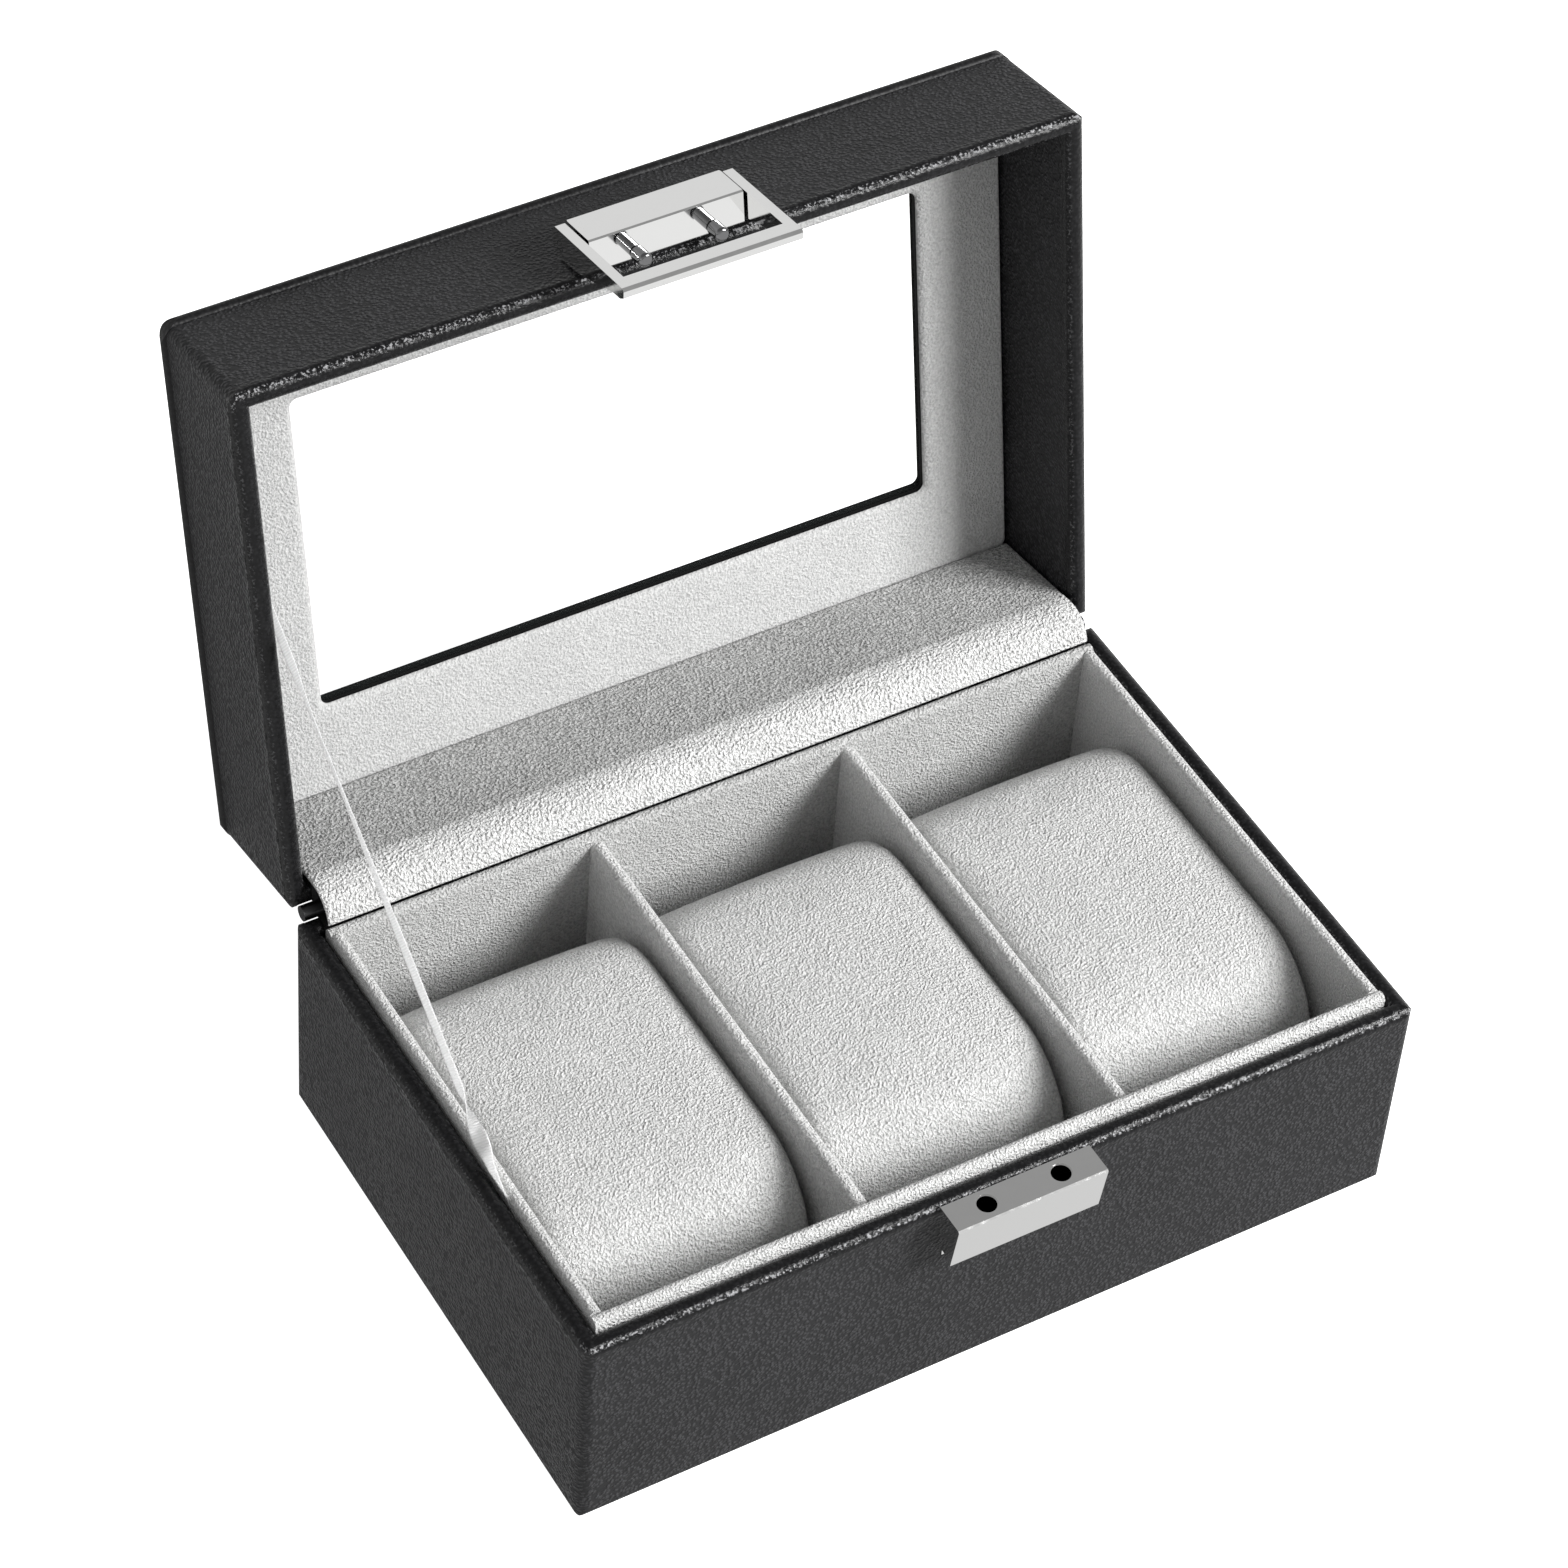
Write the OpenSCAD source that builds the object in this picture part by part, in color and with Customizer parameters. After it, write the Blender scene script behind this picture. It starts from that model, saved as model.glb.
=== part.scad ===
// Watch box for three watches: hinged lid with a window, three lift-out
// cushions between two dividers, a ribbon stay and a frame clasp.
// Drawn with the lid standing open. Millimetres, +Z up, front towards -Y.
// The origin is the middle of the underside of the base.

/* [Box] */
// Outside width of the box
box_width = 170; // [150:1:200]
// Outside depth of the box
box_depth = 110; // [100:1:130]
// Height of the base from its underside to its rim
base_height = 47; // [44:0.5:60]
// Height of the lid from its rim to its top
lid_height = 28.5; // [24:0.5:36]
// Gap between the two rims when the box is shut
rim_gap = 0.6; // [0.5:0.05:0.9]
// Angle that the open lid leans back from shut
open_angle = 101; // [92:1:104]
// Thickness of the wall boards
board = 2.4; // [2:0.1:3]
// Thickness of the leather cover
leather = 0.7; // [0.5:0.1:0.9]
// Radius of the upright corners
corner_radius = 2.2; // [1:0.1:3]
// Radius of the long edges
edge_radius = 1.2; // [0.5:0.1:1.6]
// Depth to which the cover is turned down inside the base
turn_down = 12; // [9:0.5:16]
// Width of cover that is turned in under the base and the top panel
turn_in = 6; // [5:0.5:8]

/* [Lining] */
// Thickness of the velvet-covered lining boards
lining = 2.4; // [2:0.1:3]
// Height that the lining stands above the rim
lining_rise = 1.2; // [0.8:0.1:1.6]
// Space between the lining boards and the cover
lining_fit = 0.3; // [0.25:0.05:0.5]
// Space behind the back lining, for the hinge leaves
hinge_space = 0.9; // [0.85:0.05:1.2]
// Thickness of the floor lining
floor_lining = 2; // [1.5:0.1:3]
// Thickness of the dividers
divider = 2.8; // [2:0.1:4]
// Step from the top of the lining down to the top of the dividers
divider_drop = 1.6; // [0:0.1:6]

/* [Cushions] */
// Length of a cushion, front to back
cushion_length = 79; // [60:1:84]
// Height of a cushion
cushion_height = 38; // [30:0.5:38]
// Space at each side of a cushion
cushion_gap = 1; // [0.4:0.1:2]
// Space under a cushion
cushion_seat = 0.2; // [0.1:0.05:0.5]

/* [Window] */
// Distance from the outside of the walls to the window cut-out
window_margin = 20.6; // [16:0.2:30]
// How far the window stands towards the front from the middle
window_shift = 1.6; // [0:0.1:4]
// How far the velvet frame stands back from the cut-out
frame_step = -0.7; // [-1.5:0.1:3]
// Thickness of the board in the top panel
top_board = 1.2; // [1.2:0.1:3]
// How far the top panel stands out past the walls
top_overhang = 0.6; // [0.2:0.1:1.2]
// Radius of the corners of the top panel
top_radius = 4; // [2:0.5:6]
// Thickness of the window pane
pane = 1; // [0.8:0.1:2]
// Thickness of the velvet-covered frame board
frame_board = 1.9; // [1.2:0.1:2.4]

/* [Hinges] */
// Length of each hinge
hinge_length = 26; // [20:1:36]
// Distance from the side of the box to the end of the hinge
hinge_inset = 2; // [1.5:0.5:8]
// Distance of the hinge line behind the back face
hinge_back = 0.85; // [0.6:0.05:1.1]
// Diameter of the hinge knuckles
knuckle = 3; // [2.6:0.1:3.4]
// Diameter of the hinge pins
hinge_pin = 1.4; // [1:0.1:1.6]
// Thickness of the hinge leaves
leaf = 0.45; // [0.35:0.05:0.48]
// Length of the leaf inside the wall
leaf_drop = 9; // [7:0.5:11]

/* [Hinge cover] */
// Thickness of the velvet hinge cover
cover = 0.9; // [0.6:0.1:1.2]

/* [Ribbon] */
// Width of the ribbon stay
ribbon_width = 4.6; // [3:0.2:6]
// Thickness of the ribbon stay
ribbon = 0.2; // [0.14:0.02:0.24]
// Distance from the front of the box to the ribbon on the base
ribbon_base_front = 38.6; // [30:0.2:50]
// Distance from the front of the box to the ribbon on the lid
ribbon_lid_front = 46.4; // [36:0.2:60]
// Length of ribbon glued down at each end
ribbon_tail = 8; // [5:0.5:12]

/* [Clasp] */
// Width of both clasp blocks
block_width = 30.6; // [28:0.2:36]
// Height of the lid block
block_height = 9.2; // [8.6:0.1:11]
// Depth of the lid block
block_depth = 6.4; // [6.2:0.1:6.8]
// Distance from the lid rim up to the lid block
block_rise = 1.5; // [0.8:0.1:2.4]
// Radius of the upper corners of the lid block
block_corner = 1.6; // [0.5:0.1:2.4]
// Height of the base block
keeper_height = 10.8; // [9.6:0.1:12]
// Depth of the base block at its top
keeper_depth = 6.4; // [6:0.1:6.6]
// How much shallower the base block is at its bottom
keeper_lean = 1.4; // [1:0.1:1.8]
// Distance between the two locating pins
pin_spacing = 15.2; // [12:0.2:16]
// Distance from the wall to the axis of the locating pins
pin_out = 3; // [2.8:0.1:3.1]
// Diameter of the locating pins
pin_diameter = 2.8; // [2.2:0.1:3.2]
// Length of the locating pins below the lid block
pin_length = 6.4; // [5:0.2:7]
// Room round a locating pin in its hole
pin_room = 0.45; // [0.35:0.05:0.6]
// Distance from the wall to the pivot of the clasp frame
pivot_out = 3; // [2.9:0.05:3.1]
// Diameter of the pivot pins
pivot_diameter = 1.8; // [1.4:0.1:2]
// Distance from the top of the lid block to the pivot
pivot_drop = 2.8; // [2.7:0.1:3.4]
// Width of the arms of the clasp frame
arm_width = 2; // [1.6:0.1:3]
// Gap between the arms and the blocks
arm_gap = 0.4; // [0.25:0.05:0.6]
// Thickness of the bar of the clasp frame
bar_depth = 2.6; // [2:0.1:2.6]
// Height of the bar of the clasp frame
bar_height = 3.7; // [3:0.1:5]
// Gap between the bar and the base block
latch_gap = 0.2; // [0.15:0.05:0.3]

/* [Hidden] */
$fn = 64;
eps = 1;                       // how far a cutter runs past what it cuts
half_w = box_width / 2;
half_d = box_depth / 2;
wall = board + 2 * leather;    // covered wall, as seen on the rims
rim_z = base_height;
rim_flat = 0.1;                // left level along the top of a round rim
floor_z = leather + board + floor_lining;
lining_top = base_height + lining_rise;
in_x = half_w - wall - lining_fit;            // outer face of the side linings
in_front = half_d - wall - lining_fit;        // outer face of the front lining
in_back = half_d - wall - hinge_space;        // outer face of the back lining
room_x = in_x - lining;                       // inside of the side linings
room_front = in_front - lining;               // inside of the front lining
room_back = in_back - lining;                 // inside of the back lining
room_mid = (room_back - room_front) / 2;      // middle of the room, front to back
room_depth = room_front + room_back;
slot = (2 * room_x - 2 * divider) / 3;        // width of one compartment
divider_x = (slot + divider) / 2;
cushion_width = slot - 2 * cushion_gap;
cushion_pitch = slot + divider;
cushion_z = floor_z + cushion_seat;

lid_rim_z = base_height + rim_gap;
lid_top_z = lid_rim_z + lid_height;
panel = top_board + 2 * leather;              // covered top panel
panel_z = lid_top_z - panel;                  // underside of the top panel
pane_z = panel_z - pane;
frame_z = pane_z - frame_board;               // face of the velvet frame
pane_fit = 0.3;                               // round the pane and its frame
window_w = box_width - 2 * window_margin;
window_d = box_depth - 2 * window_margin;
window_radius = 1.6;

hinge_y = half_d + hinge_back;
hinge_z = base_height + rim_gap / 2;
knuckle_r = knuckle / 2;
knuckles = 5;
knuckle_gap = 0.15;
barrel_room = 0.3;                            // round the barrel in its notch
leaf_recess = leaf - rim_gap / 2 + 0.05;      // depth of the seat in each rim
leaf_side = half_w - wall - lining_fit - 0.4; // outer edge of the leaves
leaf_in = half_w - hinge_inset - hinge_length;
leaf_mid = (leaf_side + leaf_in) / 2;
leaf_start = hinge_y - knuckle_r - knuckle_gap;
inner_back = half_d - wall;                   // inside face of the back walls
hinge_screw = 1.3;
hinge_screw_head = 2.4;
hinge_screw_cap = 0.3;
hinge_screw_pitch = 11;
hinge_screw_down = 5.5;                       // below the rim
screw_fit = 0.05;

cover_room = 0.15;                            // between the leaves and the cover
cover_r = hinge_y - inner_back + leaf + hinge_screw_cap + cover_room;
cover_half = in_x - 0.4;
cover_end = 168;                              // where the cover meets the lining
cover_steps = 24;
cover_flat = frame_z - lining_fit - hinge_z;  // along the lid's back wall
lid_edge = 180 - open_angle;                  // where the bend starts

ribbon_x = half_w - wall - lining_fit / 2;
ribbon_up = 3;                                // lid end above the lid rim
ribbon_twist_start = 0.09;                    // share of the way where the twist starts
ribbon_twist_share = 0.12;                    // and the share that it takes
ribbon_twist_rings = 12;
ribbon_rest_rings = 20;
ribbon_gather = 0.35;                         // how much the width draws in there

face_y = -half_d;                             // front face of base and lid
block_z = lid_rim_z + block_rise;             // underside of the lid block
block_top = block_z + block_height;
pivot_y = face_y - pivot_out;
pivot_z = block_top - pivot_drop;
pin_y = face_y - pin_out;
hole_diameter = pin_diameter + 2 * pin_room;
hole_depth = block_rise + rim_gap;            // pins start this far above the rim
pin_hole = pin_length - hole_depth + 1.4;     // depth of the holes
keeper_z = base_height - keeper_height;
bar_top = keeper_z - latch_gap - pivot_z;     // measured from the pivot
bar_bottom = bar_top - bar_height;
flap_front = -(block_depth - pivot_out) + 0.3;
bar_back = flap_front + bar_depth;
bar_chamfer = 0.55;
hub_r = pivot_out - 0.3;                      // round end of the arms
cheek_drop = 6;                               // from the pivot to the end of the cheek
arm_in = block_width / 2 + arm_gap;
arm_out = arm_in + arm_width;
chamfer = 0.3;
clasp_screw = 1.8;
clasp_screw_head = 3.2;
clasp_screw_cap = 1;
clasp_screw_inset = 3.3;
clasp_screw_x = block_width / 2 - clasp_screw_inset;
clasp_screw_depth = 3;                        // into the blocks
clasp_screw_lid_z = block_z + 2.8;
clasp_screw_base_z = base_height - keeper_height / 2;
pivot_grip = 3;                               // pivot pins inside the block
pin_grip = 3;                                 // locating pins inside the block

// ---- helpers ----

// A box between two corners.
module between(a, b) {
  translate(a)
    cube(b - a);
}

// A 2-D shape in Y and Z, drawn out along X, centred on x = 0.
module along_x(length) {
  translate([-length / 2, 0, 0])
    rotate([90, 0, 90])
      linear_extrude(height = length)
        children();
}

// A 2-D shape in X and Z, drawn out along Y from front to back.
module along_y(front, back) {
  translate([0, back, 0])
    rotate([90, 0, 0])
      linear_extrude(height = back - front)
        children();
}

// A rectangle with round corners, centred.
module round_rect(w, d, r) {
  square([w - 2 * r, d], center = true);
  square([w, d - 2 * r], center = true);
  for (x = [-1, 1])
    for (y = [-1, 1])
      translate([x * (w / 2 - r), y * (d / 2 - r)])
        circle(r = r);
}

// A block with round upright corners and softly rounded long edges.
module soft_block(w, d, z0, z1, plan_r, edge_r) {
  mid = (z0 + z1) / 2;
  intersection() {
    translate([0, 0, z0])
      linear_extrude(height = z1 - z0)
        round_rect(w, d, plan_r);
    along_x(w + 2 * eps)
      translate([0, mid])
        round_rect(d, z1 - z0, edge_r);
    along_y(-d / 2 - eps, d / 2 + eps)
      translate([0, mid])
        round_rect(w, z1 - z0, edge_r);
  }
}

// Turns a lid piece, drawn shut, to where it stands open.
module opened() {
  translate([0, hinge_y, hinge_z])
    rotate([-open_angle, 0, 0])
      translate([0, -hinge_y, -hinge_z])
        children();
}

// The profile of a board wrapped in velvet: a fold along its top.
module folded_profile(thick, bottom, top) {
  translate([-thick / 2, bottom])
    square([thick, top - thick / 2 - bottom]);
  translate([0, top - thick / 2])
    circle(d = thick);
}

// The outline of a box seen from one side, rounded along its rim. rim is 1
// where the rim is the upper end, -1 where it is the lower end.
module rim_outside(half, z0, z1, r, rim) {
  round_z = rim > 0 ? z1 - r : z0 + r;
  translate([-half, rim > 0 ? z0 : round_z])
    square([2 * half, z1 - z0 - r]);
  translate([-half + r, z0])
    square([2 * half - 2 * r, z1 - z0]);
  for (s = [-1, 1])
    translate([s * (half - r), round_z])
      circle(r = r);
}

// The hollow of the same box: straight, and flared along the rim.
module rim_inside(half, z0, z1, r, rim) {
  round_z = rim > 0 ? z1 - r : z0 + r;
  translate([-half, z0 - eps])
    square([2 * half, z1 - z0 + 2 * eps]);
  for (s = [-1, 1])
    difference() {
      translate([s * (half + r / 2 - eps), round_z + rim * (r + eps) / 2])
        square([r + 2 * eps, r + eps], center = true);
      translate([s * (half + r), round_z])
        circle(r = r);
    }
}

// Four walls round the box with mitred corners, set in from the outside.
module wall_ring(inset, thick, z0, z1, rim) {
  w = half_w - inset;
  d = half_d - inset;
  r = (thick - rim_flat) / 2;
  intersection() {
    difference() {
      intersection() {
        along_x(2 * w)
          rim_outside(d, z0, z1, r, rim);
        along_y(-d, d)
          rim_outside(w, z0, z1, r, rim);
      }
      intersection() {
        along_x(2 * w)
          rim_inside(d - thick, z0, z1, r, rim);
        along_y(-d, d)
          rim_inside(w - thick, z0, z1, r, rim);
      }
    }
    translate([0, 0, z0 - eps])
      linear_extrude(height = z1 - z0 + 2 * eps)
        round_rect(2 * w, 2 * d, max(corner_radius - inset, 0.2));
  }
}

// ---- base ----

// Room cut in rims and back edges for the hinge barrels.
module barrel_room_cut() {
  for (s = [-1, 1])
    translate([s * (half_w - hinge_inset - hinge_length / 2), hinge_y, hinge_z])
      rotate([0, 90, 0])
        cylinder(h = hinge_length + 2 * barrel_room, r = knuckle_r + barrel_room, center = true);
}

// Seats in a rim for the hinge leaves, between two heights.
module leaf_seats(z0, z1) {
  for (s = [-1, 1])
    translate([s * leaf_mid, (inner_back - eps + hinge_y) / 2, (z0 + z1) / 2])
      cube([leaf_side - leaf_in + 2 * screw_fit, hinge_y - inner_back + eps, z1 - z0], center = true);
}

// Places children at each hinge screw: up is 1 in the lid, -1 in the base.
module at_hinge_screws(up) {
  for (s = [-1, 1])
    for (t = [-1, 1])
      translate([s * leaf_mid + t * hinge_screw_pitch / 2, inner_back, hinge_z + up * hinge_screw_down])
        rotate([-90, 0, 0])
          children();
}

// Holes for the hinge screws.
module hinge_screw_holes(up) {
  at_hinge_screws(up)
    translate([0, 0, -leaf - eps])
      cylinder(h = leaf + eps + leather + board, d = hinge_screw + 2 * screw_fit);
}

// Places children at the screws of a clasp block, pointing out of the wall.
module at_clasp_screws(z) {
  for (s = [-1, 1])
    translate([s * clasp_screw_x, face_y + leather + board, z])
      rotate([90, 0, 0])
        children();
}

// Holes through a front wall for the screws of a clasp block.
module clasp_screw_holes(z) {
  at_clasp_screws(z) {
    cylinder(h = wall + eps, d = clasp_screw + 2 * screw_fit);
    cylinder(h = clasp_screw_cap, d = clasp_screw_head + 2 * screw_fit);
  }
}

// One wall board, cut from the ring of boards: long boards run the full width,
// side boards stand between them.
module long_board(side, z0, z1, rim) {
  y = half_d - leather - board;
  intersection() {
    wall_ring(leather, board, z0, z1, rim);
    between([-half_w, side > 0 ? y : -half_d, z0 - eps], [half_w, side > 0 ? half_d : -y, z1 + eps]);
  }
}

module side_board(side, z0, z1, rim) {
  w = half_w - leather;
  y = half_d - leather - board;
  r = (board - rim_flat) / 2;
  along_y(-y, y)
    intersection() {
      difference() {
        rim_outside(w, z0, z1, r, rim);
        rim_inside(w - board, z0, z1, r, rim);
      }
      translate([side > 0 ? 0 : -half_w, z0 - eps])
        square([half_w, z1 - z0 + 2 * eps]);
    }
}

module base_front_board() {
  color("tan")
    difference() {
      long_board(-1, leather, rim_z - leather, 1);
      clasp_screw_holes(clasp_screw_base_z);
    }
}

module base_back_board() {
  color("tan")
    difference() {
      long_board(1, leather, rim_z - leather, 1);
      barrel_room_cut();
      hinge_screw_holes(-1);
    }
}

module base_left_board() {
  color("tan")
    side_board(-1, leather, rim_z - leather, 1);
}

module base_right_board() {
  color("tan")
    side_board(1, leather, rim_z - leather, 1);
}

module base_bottom_board() {
  x = half_w - leather - board;
  y = half_d - leather - board;
  color("tan")
    between([-x, -y, leather], [x, y, leather + board]);
}

module base_leather() {
  x = half_w - leather - board;
  y = half_d - leather - board;
  color([0.12, 0.12, 0.13])
    difference() {
      union() {
        // the walls, softly rounded along the lower edges
        intersection() {
          wall_ring(0, wall, 0, base_height, 1);
          soft_block(box_width, box_depth, 0, 2 * base_height, corner_radius, edge_radius);
        }
        // the edge turned in under the base
        intersection() {
          soft_block(box_width, box_depth, 0, base_height, corner_radius, edge_radius);
          between([-half_w, -half_d, 0], [half_w, half_d, leather]);
        }
      }
      wall_ring(leather, board, leather, rim_z - leather, 1);
      // below the turned-down cover the boards lie bare
      between([-x, -y, leather], [x, y, rim_z - turn_down]);
      // the underside inside the turned-in edge
      between([-half_w + turn_in, -half_d + turn_in, -eps], [half_w - turn_in, half_d - turn_in, wall]);
      barrel_room_cut();
      leaf_seats(rim_z - leaf_recess, rim_z + eps);
      hinge_screw_holes(-1);
      clasp_screw_holes(clasp_screw_base_z);
    }
}

module base_underside_cloth() {
  x = half_w - turn_in - lining_fit;
  y = half_d - turn_in - lining_fit;
  color([0.2, 0.2, 0.2])
    between([-x, -y, 0], [x, y, leather]);
}

module lining_front() {
  color("gainsboro")
    along_x(2 * in_x)
      translate([-in_front + lining / 2, 0])
        folded_profile(lining, floor_z, lining_top);
}

module lining_back() {
  color("gainsboro")
    along_x(2 * in_x)
      translate([in_back - lining / 2, 0])
        folded_profile(lining, floor_z, lining_top);
}

module side_lining(side) {
  color("gainsboro")
    along_y(-room_front, room_back)
      translate([side * (in_x - lining / 2), 0])
        folded_profile(lining, floor_z, lining_top);
}

module lining_left() {
  side_lining(-1);
}

module lining_right() {
  side_lining(1);
}

module lining_floor() {
  x = half_w - leather - board - lining_fit;
  y = half_d - leather - board - lining_fit;
  color("gainsboro")
    between([-x, -y, leather + board], [x, y, floor_z]);
}

module one_divider(side) {
  color("gainsboro")
    along_y(-room_front, room_back)
      translate([side * divider_x, 0])
        folded_profile(divider, floor_z, lining_top - divider_drop);
}

module divider_left() {
  one_divider(-1);
}

module divider_right() {
  one_divider(1);
}

// ---- cushions ----

// A cushion: flat above and below, round at the front and the back.
module one_cushion(place) {
  r = cushion_height / 2;
  straight = cushion_length - cushion_height;
  color("whitesmoke")
    translate([place * cushion_pitch, room_mid, cushion_z + r])
      along_x(cushion_width) {
        square([straight, cushion_height], center = true);
        for (s = [-1, 1])
          translate([s * straight / 2, 0])
            circle(r = r, $fn = 96);
      }
}

module cushion_left() {
  one_cushion(-1);
}

module cushion_middle() {
  one_cushion(0);
}

module cushion_right() {
  one_cushion(1);
}

// ---- lid ----

module lid_front_board() {
  color("tan")
    opened()
      difference() {
        long_board(-1, lid_rim_z + leather, panel_z, -1);
        clasp_screw_holes(clasp_screw_lid_z);
      }
}

module lid_back_board() {
  color("tan")
    opened()
      difference() {
        long_board(1, lid_rim_z + leather, panel_z, -1);
        barrel_room_cut();
        hinge_screw_holes(1);
      }
}

module lid_left_board() {
  color("tan")
    opened()
      side_board(-1, lid_rim_z + leather, panel_z, -1);
}

module lid_right_board() {
  color("tan")
    opened()
      side_board(1, lid_rim_z + leather, panel_z, -1);
}

module lid_leather() {
  color([0.12, 0.12, 0.13])
    opened()
      difference() {
        wall_ring(0, wall, lid_rim_z, panel_z, -1);
        wall_ring(leather, board, lid_rim_z + leather, panel_z + eps, -1);
        barrel_room_cut();
        leaf_seats(lid_rim_z - eps, lid_rim_z + leaf_recess);
        hinge_screw_holes(1);
        clasp_screw_holes(clasp_screw_lid_z);
      }
}

// The cut-out of the top panel or of a board near it, with round corners.
module window_cut(grow, z0, z1) {
  translate([0, -window_shift, z0])
    linear_extrude(height = z1 - z0)
      round_rect(window_w + 2 * grow, window_d + 2 * grow, window_radius + max(grow, 0));
}

module top_panel_board() {
  x = half_w + top_overhang - leather;
  y = half_d + top_overhang - leather;
  color("tan")
    opened()
      difference() {
        translate([0, 0, panel_z + leather])
          linear_extrude(height = top_board)
            round_rect(2 * x, 2 * y, top_radius - leather);
        window_cut(leather, panel_z, lid_top_z);
      }
}

module top_panel_leather() {
  w = box_width + 2 * top_overhang;
  d = box_depth + 2 * top_overhang;
  color([0.12, 0.12, 0.13])
    opened()
      difference() {
        soft_block(w, d, panel_z, lid_top_z, top_radius, edge_radius);
        window_cut(0, panel_z - eps, lid_top_z + eps);
        // the space that the board fills
        difference() {
          translate([0, 0, panel_z + leather])
            linear_extrude(height = top_board)
              round_rect(w - 2 * leather, d - 2 * leather, top_radius - leather);
          window_cut(leather, panel_z, lid_top_z);
        }
        // the underside between the two turned-in edges
        difference() {
          translate([0, 0, panel_z - eps])
            linear_extrude(height = eps + leather)
              square([w - 2 * turn_in, d - 2 * turn_in], center = true);
          window_cut(turn_in, panel_z - 2 * eps, lid_top_z);
        }
      }
}

module window_pane() {
  x = half_w - wall - pane_fit;
  y = half_d - wall - pane_fit;
  color([0.85, 0.92, 0.95, 0.4])
    opened()
      between([-x, -y, pane_z], [x, y, panel_z]);
}

module window_frame_board() {
  x = half_w - wall - pane_fit;
  y = half_d - wall - pane_fit;
  color("gainsboro")
    opened()
      difference() {
        between([-x, -y, frame_z], [x, y, pane_z]);
        window_cut(frame_step, frame_z - eps, pane_z + eps);
      }
}

// ---- hinges ----

// Start of knuckle i along the barrel, measured from the barrel's outer end.
function knuckle_start(i) = i * (hinge_length + knuckle_gap) / knuckles;
knuckle_length = (hinge_length + knuckle_gap) / knuckles - knuckle_gap;

// One cranked leaf, drawn shut: knuckles, a strap over the rim, and a leg
// down the inside of the wall. side is -1 left, 1 right; up is 1 for the lid.
module hinge_leaf(side, up) {
  first = up > 0 ? 1 : 0;
  outer = half_w - hinge_inset;
  strap0 = up > 0 ? lid_rim_z + leaf_recess - leaf : rim_z - leaf_recess;
  leg_end = hinge_z + up * leaf_drop;
  inner = inner_back - leaf;
  mirror([side > 0 ? 0 : 1, 0, 0])
    difference() {
      union() {
        for (i = [first : 2 : knuckles - 1])
          translate([outer - knuckle_start(i) - knuckle_length, hinge_y, hinge_z]) {
            rotate([0, 90, 0])
              cylinder(h = knuckle_length, r = knuckle_r);
            tab = min(knuckle_length, leaf_side - (outer - knuckle_start(i) - knuckle_length));
            translate([0, leaf_start - hinge_y - knuckle_gap, strap0 - hinge_z])
              cube([tab, hinge_y - leaf_start + knuckle_gap, leaf]);
          }
        between([leaf_in, inner, strap0], [leaf_side, leaf_start, strap0 + leaf]);
        between([leaf_in, inner, up > 0 ? strap0 : leg_end],
                [leaf_side, inner_back, up > 0 ? leg_end : strap0 + leaf]);
      }
      translate([outer - hinge_length - eps, hinge_y, hinge_z])
        rotate([0, 90, 0])
          cylinder(h = hinge_length + 2 * eps, d = hinge_pin + 2 * screw_fit);
      hinge_screw_holes(up);
    }
}

module hinge_left_base_leaf() {
  color("silver")
    hinge_leaf(-1, -1);
}

module hinge_right_base_leaf() {
  color("silver")
    hinge_leaf(1, -1);
}

module hinge_left_lid_leaf() {
  color("silver")
    opened()
      hinge_leaf(-1, 1);
}

module hinge_right_lid_leaf() {
  color("silver")
    opened()
      hinge_leaf(1, 1);
}

module one_hinge_pin(side) {
  color("silver")
    translate([side * (half_w - hinge_inset - hinge_length / 2), hinge_y, hinge_z])
      rotate([0, 90, 0])
        cylinder(h = hinge_length, d = hinge_pin, center = true);
}

module hinge_left_pin() {
  one_hinge_pin(-1);
}

module hinge_right_pin() {
  one_hinge_pin(1);
}

// The screws of one pair of leaves: a flat head on the leaf, a plain shank.
module hinge_screws(up) {
  at_hinge_screws(up) {
    translate([0, 0, -leaf - hinge_screw_cap])
      cylinder(h = hinge_screw_cap, d = hinge_screw_head);
    translate([0, 0, -leaf])
      cylinder(h = leaf + leather + board - screw_fit, d = hinge_screw);
  }
}

module hinge_base_screws() {
  color("silver")
    hinge_screws(-1);
}

module hinge_lid_screws() {
  color("silver")
    opened()
      hinge_screws(1);
}

// ---- soft parts between base and lid ----

// The velvet sheet over the hinges: flat on the lid's back wall, round the
// hinge line, and down to the top of the back lining.
// one face of the cover, seen along the hinge: the flat end, then the bend round the barrels
function cover_face(r) = [
  [
    hinge_y + r * cos(lid_edge) + cover_flat * sin(lid_edge),
    hinge_z + r * sin(lid_edge) - cover_flat * cos(lid_edge)
  ],
  for (i = [0:cover_steps])
    let (a = lid_edge + (cover_end - lid_edge) * i / cover_steps)
      [hinge_y + r * cos(a), hinge_z + r * sin(a)]
];

module hinge_cover() {
  inside = cover_face(cover_r);
  outside = cover_face(cover_r + cover);
  last = len(inside) - 1;
  color("gainsboro")
    along_x(2 * cover_half)
      polygon(concat(outside, [for (i = [0:last]) inside[last - i]]));
}

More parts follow.
